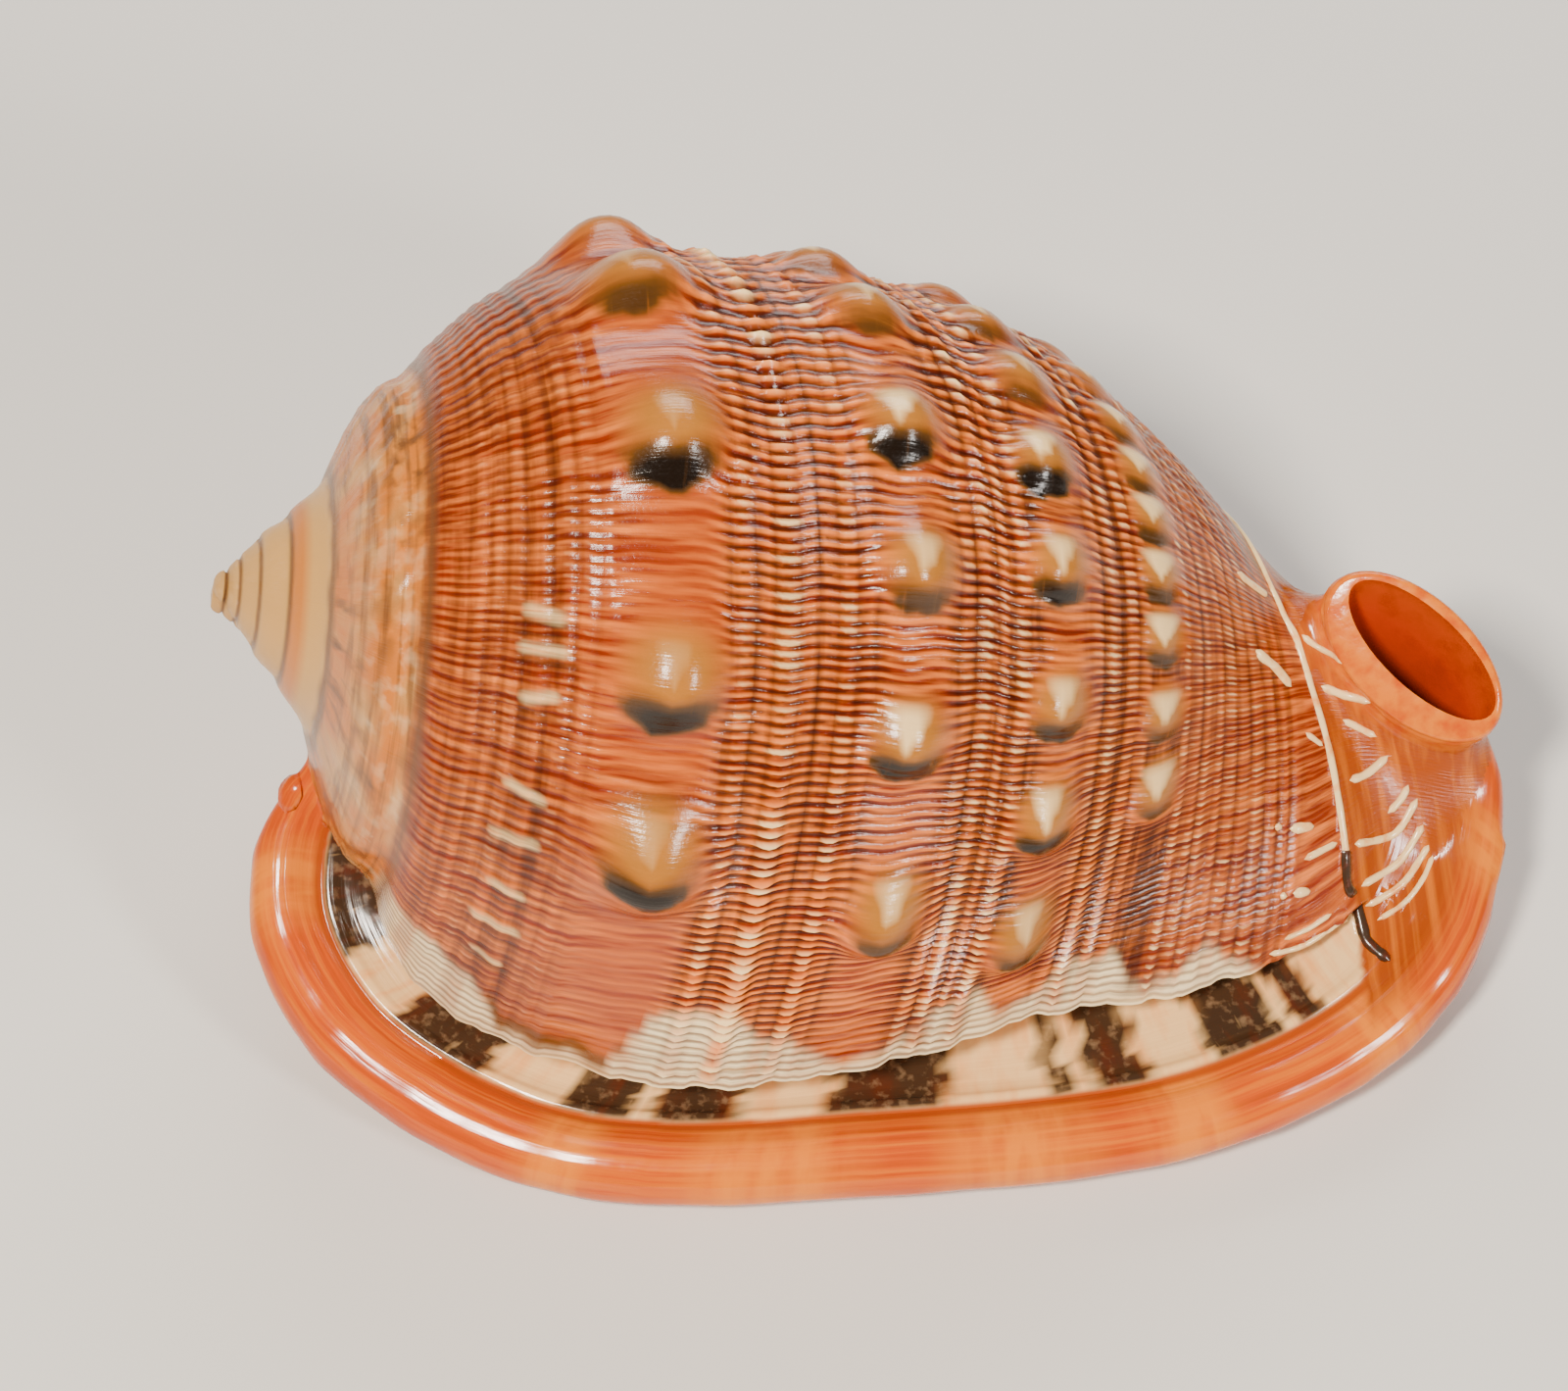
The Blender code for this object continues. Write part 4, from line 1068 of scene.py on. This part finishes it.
def lay_underside(tree, in_mm, ground, colours):
    """Lay the salmon glaze of the underside over a ground, and the teeth and folds along the slot.

    They follow the place itself, because the flats that the shell rests on are single faces.
    """
    x, y, z = add_node(tree, "ShaderNodeSeparateXYZ", {0: in_mm}).outputs[:3]
    pace = 2.0 * np.pi * SLOT_TEETH / (SLOT_ENDS[1] - SLOT_ENDS[0])
    found = {"x": x, "y": y}
    for name, operation, *inputs in (
            ("bend", "MULTIPLY", "x", "x"), ("side", "MULTIPLY_ADD", "bend", -SLOT_BEND, "y"),
            ("aside", "SUBTRACT", "side", SLOT_Y - MIDDLE[1]), ("off", "ABSOLUTE", "aside"),
            ("end", "ABSOLUTE", "x"), ("turn", "MULTIPLY_ADD", "x", pace, -pace * SLOT_ENDS[0]),
            ("gap", "COSINE", "turn")):
        inputs = {index: found.get(value, value) for index, value in enumerate(inputs)}
        found[name] = add_node(tree, "ShaderNodeMath", inputs, operation=operation).outputs[0]
    off, end, gap = found["off"], found["end"], found["gap"]
    soft = add_node(
        tree, "ShaderNodeTexNoise", {"Vector": in_mm, "Scale": 0.06, "Detail": 3.0}).outputs["Fac"]
    glaze = lay_colours(tree, colours.callus, ((colours.rim_pale, 0.55, (soft, 0.4, 0.7)),))
    return lay_colours(tree, ground, (
        (glaze, 1.0, (z, 2.6, 1.0)),
        (colours.rufous, 0.8, (gap, -0.4, 0.8), (off, 9.5, 7.0), (z, 6.0, 4.0), (end, 48.5, 46.5)),
        (colours.tooth, 1.0, (gap, 0.3, -0.5), (off, 10.5, 8.5), (z, 5.0, 3.5), (end, 48.5, 46.5))))


def streaks(tree, first, second, scales, detail=3.0):
    """Noise drawn out along one of two stored fields; its scales are cycles in a unit of each."""
    scaled = [add_node(tree, "ShaderNodeMath", {0: field, 1: scale}, operation="MULTIPLY").outputs[0]
              for field, scale in zip((first, second), scales)]
    where = add_node(tree, "ShaderNodeCombineXYZ", {0: scaled[0], 1: scaled[1]}).outputs[0]
    return add_node(
        tree, "ShaderNodeTexNoise", {"Vector": where, "Scale": 1.0, "Detail": detail}).outputs["Fac"]


def beside_canal(tree, colours, mask, *where):
    """Layers of the brown-orange shell beside the canal, with its growth rings, where fields say."""
    rings = streaks(tree, mask["beyond"], mask["column"], GROWTH_RINGS)
    return (colours.fasciole, 1.0, *where), (colours.rim_pale, 0.5, *where, (rings, 0.45, 0.7))


def finish_shader(tree, in_mm, base, grain, roughness, relief, depth, coat):
    """Join colour, roughness spread by the grain, and relief (depth in mm) to the shader.

    The relief is worn off just over the floor, where the shell rests.
    """
    shader = tree.nodes["Principled BSDF"]
    height = add_node(tree, "ShaderNodeSeparateXYZ", {0: in_mm}).outputs[2]
    worn = add_node(
        tree, "ShaderNodeMapRange", {0: height, 1: WORN_HEIGHTS[0], 2: WORN_HEIGHTS[1]}).outputs[0]
    rough = add_node(
        tree, "ShaderNodeMapRange", {0: grain, 1: 0.3, 2: 0.7, 3: roughness[0], 4: roughness[1]})
    bump = add_node(tree, "ShaderNodeBump", {"Height": relief, "Distance": depth * MM, "Strength": worn})
    for name, socket in (
            ("Base Color", base), ("Roughness", rough.outputs[0]), ("Normal", bump.outputs["Normal"])):
        tree.links.new(socket, shader.inputs[name])
    shader.inputs["IOR"].default_value = SHELL_IOR
    shader.inputs["Specular IOR Level"].default_value = SHELL_SPECULAR
    shader.inputs["Coat Weight"].default_value = coat
    shader.inputs["Coat Roughness"].default_value = GLAZE_ROUGHNESS
    return shader


def ribbed_outer_layer(colours):
    """Aragonite grown in ribs and oiled: warm and glossy, brown in every groove, deepened there as painted
    shade.

    The eye sees orange threads with brown lines between them, cream beads, tan
    worn knob tops with a dark lip side that is partly painted shade, and a chalkier ochre
    and cream spire with painted shade in its seams. The grain is 0.4 mm, far coarser than
    real crystals, which no picture would show.
    """
    tree, in_mm, grain, mask = start_material("ribbed_outer_layer", 2.6, 3.0, (
        "row", "column", "phase", "weave", "bead", "groove", "dash", "spot", "knob_near", "knob_pale",
        "knob_flame", "knob_dark_and_shade", "glazed", "spire", "seam", "crest", "pocket", "past_line", "beyond"))
    row, column = mask["row"], mask["column"]
    # A column is about 0.7 mm round the whorl: bands of growth 1.3 mm wide, and lines of 0.3 mm,
    # which are finer in a real shell and drawn coarser here.
    growth = streaks(tree, row, column, (0.09, 0.55))
    fine = streaks(tree, row, column, (0.12, 2.2), 4.0)
    # Stripes of 1.1 mm along the spiral rows, and patches of 2.2 mm.
    spiral = streaks(tree, row, column, (0.9, 0.05))
    patchy = streaks(tree, row, column, (0.45, 0.3), 4.0)
    # Clouds of colour 14 mm across.
    blotch = add_node(
        tree, "ShaderNodeTexNoise", {"Vector": in_mm, "Scale": 0.07, "Detail": 3.0}).outputs["Fac"]
    turn = add_node(
        tree, "ShaderNodeMath", {0: mask["phase"], 1: 2.0 * np.pi}, operation="MULTIPLY").outputs[0]
    wave = add_node(tree, "ShaderNodeMath", {0: turn}, operation="COSINE").outputs[0]
    ground = lay_colours(tree, colours.rufous, (
        (colours.orange, 0.9, (growth, 0.42, 0.68)),
        (colours.mauve_and_shade, 0.6, (blotch, 0.42, 0.66), (growth, 0.62, 0.4)),
        # Painted shade: mauve brown between the knobs on the back.
        (colours.mauve_and_shade, 0.5, (mask["knob_near"], 0.5, 0.05), (column, 10.0, -60.0)),
        (colours.dark_brown_and_shade, 0.4, (fine, 0.5, 0.75)),
        (colours.mauve_and_shade, 0.55, (row, 36.0, 30.0), (spiral, 0.35, 0.6)),
        (colours.flesh, 0.7, (row, 35.0, 38.5), (row, 47.5, 44.5), (blotch, 0.7, 0.4), (growth, 0.2, 0.6)),
        (colours.orange, 0.95, (wave, 0.0, 0.9), (mask["weave"], 0.0, 0.9)),
        # Dark brown in the troughs between threads and between the cords, deepened as painted shade.
        (colours.dark_brown_and_shade, 0.85, (wave, 0.1, -1.0), (mask["weave"], 0.0, 1.0), (patchy, 0.25, 0.5)),
        (colours.dark_brown_and_shade, 0.85, (mask["groove"], 0.2, 0.95), (spiral, 0.15, 0.55)),
        (colours.orange, 0.35, (mask["knob_near"], 0.3, 0.9)),
        (colours.bead, 1.0, (mask["bead"], 0.03, 0.6)),
        (colours.knob_top, 0.9, (mask["knob_pale"], 0.1, 0.9)),
        (colours.bead, 0.85, (mask["knob_flame"], 0.15, 0.8)),
        # The olive fringe and dark patch on each knob's lip side: partly the shell's brown, partly painted
        # shade under the knob.
        (colours.knob_olive, 0.95, (mask["knob_dark_and_shade"], 0.05, 0.5), (spiral, 0.1, 0.35)),
        (colours.knob_shade, 1.0, (mask["knob_dark_and_shade"], 0.3, 0.8), (spiral, 0.15, 0.4)),
        (colours.knob_shade, 0.65, (mask["spot"], 0.1, 0.9), (growth, 0.3, 0.5)),
        (colours.bead, 0.8, (mask["dash"], 0.2, 1.2), (fine, 0.15, 0.55)),
        (colours.knob_olive, 0.85, (mask["pocket"], 0.1, 0.8)),
    ))
    crest = lay_colours(tree, colours.crest, (
        (colours.crest_line, 0.75, (wave, 0.1, -0.9)),
        (colours.crest_line, 0.6, (fine, 0.5, 0.7)),
        (colours.bead, 0.5, (growth, 0.5, 0.7))))
    # On the spire: bands of 0.8 mm, patches 4 mm wide and folds of 3 mm.
    bands = streaks(tree, row, column, (1.3, 0.03), 4.0)
    patches = streaks(tree, row, column, (0.25, 0.05))
    folds = streaks(tree, row, column, (0.35, 0.14))
    spire = lay_colours(tree, colours.spire, (
        (colours.spire_streak, 0.85, (row, 10.9, 11.5), (patches, 0.75, 0.45)),
        (colours.spire_streak, 0.7, (row, 7.3, 7.5), (row, 9.4, 8.4)),
        (colours.spire_shade, 0.75, (row, 10.9, 11.5), (bands, 0.5, 0.65)),
        (colours.spire_shade, 0.9, (row, 10.9, 11.5), (folds, 0.5, 0.62), (blotch, 0.4, 0.55)),
        (colours.crest, 0.35, (row, 12.0, 15.0), (folds, 0.5, 0.35), (blotch, 0.6, 0.4))))
    base = lay_colours(tree, ground, (
        *beside_canal(tree, colours, mask, (mask["past_line"], 0.0, 1.0)),
        (crest, 1.0, (mask["crest"], 0.0, 1.0)),
        (spire, 1.0, (mask["spire"], 0.0, 1.0)),
        # Painted shade: dark along the spire's seams and thin spiral lines, in the grooves cut there.
        (colours.spire_shade, 0.85, (mask["seam"], 0.15, 0.8)),
        (colours.callus, 1.0, (mask["glazed"], 0.0, 1.0))))
    base = lay_underside(tree, in_mm, base, colours)
    relief = add_node(tree, "ShaderNodeMath", {0: wave, 1: mask["weave"]}, operation="MULTIPLY").outputs[0]
    for pattern, share in ((fine, 0.8), (grain, 0.35)):
        relief = add_node(
            tree, "ShaderNodeMath", {0: pattern, 1: share, 2: relief}, operation="MULTIPLY_ADD").outputs[0]
    relief = add_node(tree, "ShaderNodeMapRange", {0: mask["glazed"], 3: relief, 4: 0.0}).outputs[0]
    finish_shader(tree, in_mm, base, grain, (0.16, 0.26), relief, 0.08, 0.06)


def rolled_lip_enamel(colours):
    """Porcelain-smooth shell laid down on the lip: glassy gloss, orange rim, dark and cream blocks."""
    tree, in_mm, grain, mask = start_material("rolled_lip_enamel", 0.9, 5.0, (
        "place", "into", "blocks", "channel", "patches", "past_line", "beyond", "column"))
    # A place is about 11 mm of the rim: growth lines of 0.7 mm along it, streaks of 2 mm across.
    along = streaks(tree, mask["place"], mask["into"], (0.45, 1.5))
    across = streaks(tree, mask["place"], mask["into"], (5.0, 0.12))
    rim = lay_colours(tree, colours.rim, (
        (colours.rim_pale, 0.6, (along, 0.45, 0.7)),
        (colours.rim_deep, 0.6, (along, 0.5, 0.3)),
        (colours.rim_pale, 0.9, (mask["patches"], 0.1, 0.8), (across, 0.2, 0.55)),
        (colours.rim_deep, 0.9, (mask["into"], 7.0, 7.7))))
    dark = lay_colours(tree, colours.block, (
        (colours.mauve_and_shade, 0.5, (across, 0.5, 0.7)), (colours.crest_line, 0.6, (grain, 0.52, 0.72))))
    cream = lay_colours(tree, colours.block_cream, ((colours.rim_pale, 0.6, (across, 0.45, 0.75)),))
    base = lay_colours(tree, rim, (
        (cream, 1.0, (mask["channel"], 0.0, 1.0)),
        (dark, 1.0, (mask["blocks"], 0.0, 1.0), (across, 0.05, 0.35)),
        *beside_canal(tree, colours, mask, (mask["past_line"], 0.0, 1.0), (mask["into"], 2.5, 6.5))))
    base = lay_underside(tree, in_mm, base, colours)
    finish_shader(tree, in_mm, base, grain, (0.12, 0.2), along, 0.08, 0.08)


def siphon_enamel(colours):
    """The canal's glaze: bright orange at the mouth, brown-orange with growth lines below it."""
    tree, in_mm, grain, mask = start_material("siphon_enamel", 0.5, 4.0, ("column", "beyond", "below_mouth"))
    base = lay_colours(tree, colours.rim, (
        (colours.rim_pale, 0.8, (grain, 0.3, 0.6)),
        *beside_canal(tree, colours, mask, (mask["below_mouth"], *CANAL_BAND))))
    base = lay_underside(tree, in_mm, base, colours)
    finish_shader(tree, in_mm, base, grain, (0.12, 0.22), grain, 0.08, 0.08)


def chamber_lining(colours):
    """Polished inner layer: orange at the canal's mouth and dark red inside as painted shade, cream on the
    teeth.
    """
    tree, in_mm, grain, mask = start_material("chamber_lining", 0.35, 4.0, ("below_mouth",))
    base = lay_colours(tree, colours.rim, (
        # Painted shade: the lining turns deeper orange, then dark brown, further down into the canal from its
        # mouth.
        (colours.canal, 1.0, (mask["below_mouth"], -0.5, 4.5)),
        (colours.dark_brown_and_shade, 0.85, (mask["below_mouth"], 4.0, 12.0), (mask["below_mouth"], 36.0, 20.0)),
        (colours.rufous, 0.5, (grain, 0.45, 0.7))))
    base = lay_underside(tree, in_mm, base, colours)
    finish_shader(tree, in_mm, base, grain, (0.2, 0.3), grain, 0.1, 0.3)


def cream_enamel(colours):
    """Cream shell heaped up in thin raised lines: glossy, a little stained along them."""
    tree, in_mm, grain, _ = start_material("cream_enamel", 0.6, 4.0)
    base = lay_colours(tree, colours.bead, ((colours.rim_pale, 0.7, (grain, 0.52, 0.7)),))
    finish_shader(tree, in_mm, base, grain, (0.2, 0.3), grain, 0.05, 0.5)


def dark_enamel(colours):
    """The same shell, nearly black, raised in a line where the last growth line runs into the lip."""
    tree, in_mm, grain, _ = start_material("dark_enamel", 0.9, 5.0)
    base = lay_colours(tree, colours.block, ((colours.mauve_and_shade, 0.6, (grain, 0.5, 0.7)),))
    finish_shader(tree, in_mm, base, grain, (0.2, 0.3), grain, 0.05, 0.5)


class HELMETSHELL_OT_grow(bpy.types.Operator):
    """Grow the shell with its beads, threads, knobs and glaze"""

    bl_idname = "helmetshell.grow"
    bl_label = "Grow Shell"

    def execute(self, context):
        sizes, colours = context.scene.helmet_sizes, context.scene.helmet_colours
        for make in (
                ribbed_outer_layer, rolled_lip_enamel, siphon_enamel, chamber_lining,
                cream_enamel, dark_enamel):
            make(colours)
        front = coil_point(0.0, np.array(BODY_END + 0.4), np.array(0.0))
        shell = solid("helmet_shell", body_points(sizes), (APEX, front), "ribbed_outer_layer")
        combine(shell, solid("lip", lip_points(190, sizes), None, "rolled_lip_enamel"), "UNION")
        combine(shell, solid("canal", canal_points(), None, "siphon_enamel"), "UNION")
        combine(shell, below_the_floor(), "DIFFERENCE")
        hollow = solid("hollow", chamber_points(), None, "chamber_lining")
        combine(hollow, solid("slot", slot_points(), None, "chamber_lining"), "UNION")
        combine(hollow, solid("bore", oval_points(BORE, 40, 44), None, "chamber_lining"), "UNION")
        combine(shell, hollow, "DIFFERENCE")
        soften_joins(shell.data, sizes.seam_rings)
        add_lines(shell)
        shell.data.set_sharp_from_angle(angle=np.radians(62.0))
        for face in shell.data.polygons:
            face.use_smooth = face.center.z > 0.01 * MM
        mark_surface(shell.data)
        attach(shell, "root")
        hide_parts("shell")
        return {"FINISHED"}


def area_light(name, place, size, power, tint):
    """A soft oblong light at a place in metres, turned toward the shell."""
    lamp = bpy.data.lights.new(name, "AREA")
    lamp.shape = "RECTANGLE"
    lamp.size, lamp.size_y = size
    lamp.energy = power
    lamp.color = linear(tint)[:3]
    made = bpy.data.objects.new(name, lamp)
    made.location = place
    direction = made.location - mathutils.Vector(LIGHT_AIM)
    made.rotation_euler = direction.to_track_quat("Z", "Y").to_euler()
    bpy.context.scene.collection.objects.link(made)


class HELMETSHELL_OT_stage(bpy.types.Operator):
    """Set the pale floor, the soft studio lights and the camera"""

    bl_idname = "helmetshell.stage"
    bl_label = "Set Stage"

    def execute(self, context):
        scene, stage = context.scene, context.scene.helmet_stage
        mesh = bmesh.new()
        bmesh.ops.create_grid(mesh, x_segments=2, y_segments=2, size=stage.floor_size / 2.0)
        data = bpy.data.meshes.new("studio_floor")
        mesh.to_mesh(data)
        mesh.free()
        # Matt painted board: even, with a faint unevenness of the paint.
        tree, in_mm, mottle, _ = start_material("painted_board", 0.02, 2.0)
        tint = lay_colours(tree, stage.floor_colour, (((0.5, 0.5, 0.5, 1.0), 0.05, (mottle, 0.3, 0.7)),))
        shader = finish_shader(tree, in_mm, tint, mottle, (0.65, 0.75), mottle, 0.02, 0.0)
        shader.inputs["IOR"].default_value = 1.5
        floor = put_in_scene("studio_floor", data, "painted_board")
        for name, place, size, share, tint in LIGHTS:
            area_light(name, place, size, share * stage.key_power, tint)
        world = bpy.data.worlds.new("studio")
        world.use_nodes = True
        background = world.node_tree.nodes["Background"]
        background.inputs["Color"].default_value = linear(AIR_COLOUR)
        background.inputs["Strength"].default_value = AIR_STRENGTH
        scene.world = world
        lens = bpy.data.cameras.new("camera")
        lens.lens, lens.sensor_width = stage.camera_lens, SENSOR_WIDTH
        lens.clip_start = 0.01
        camera = bpy.data.objects.new("camera", lens)
        turn, lift = stage.azimuth, stage.elevation
        back = np.array((np.sin(turn) * np.cos(lift), -np.cos(turn) * np.cos(lift), np.sin(lift)))
        camera.location = np.array(CAMERA_AIM) + stage.camera_distance * back
        camera.rotation_euler = (np.pi / 2.0 - lift, 0.0, turn)
        scene.collection.objects.link(camera)
        scene.camera = camera
        return {"FINISHED"}


class HELMETSHELL_PT_panel(bpy.types.Panel):
    """Operators and settings of the helmet shell"""

    bl_label = "Helmet Shell"
    bl_idname = "HELMETSHELL_PT_panel"
    bl_space_type = "VIEW_3D"
    bl_region_type = "UI"
    bl_category = "Helmet Shell"

    def draw(self, context):
        for operator in (HELMETSHELL_OT_grow, HELMETSHELL_OT_stage):
            self.layout.operator(operator.bl_idname)
        for group in (context.scene.helmet_sizes, context.scene.helmet_colours, context.scene.helmet_stage):
            for name in group.__annotations__:
                self.layout.prop(group, name)


CLASSES = (
    HelmetShellSizes, HelmetShellColours, HelmetShellStage, HELMETSHELL_OT_grow, HELMETSHELL_OT_stage,
    HELMETSHELL_PT_panel)


def register():
    """Register the classes and hang the settings on the scene."""
    for item in CLASSES:
        bpy.utils.register_class(item)
    bpy.types.Scene.helmet_sizes = bpy.props.PointerProperty(type=HelmetShellSizes)
    bpy.types.Scene.helmet_colours = bpy.props.PointerProperty(type=HelmetShellColours)
    bpy.types.Scene.helmet_stage = bpy.props.PointerProperty(type=HelmetShellStage)


def unregister():
    """Take the settings and the classes away again."""
    del bpy.types.Scene.helmet_sizes
    del bpy.types.Scene.helmet_colours
    del bpy.types.Scene.helmet_stage
    for item in reversed(CLASSES):
        bpy.utils.unregister_class(item)


def main():
    """Build the whole scene."""
    register()
    bpy.ops.helmetshell.grow()
    bpy.ops.helmetshell.stage()


if __name__ == "__main__":
    main()
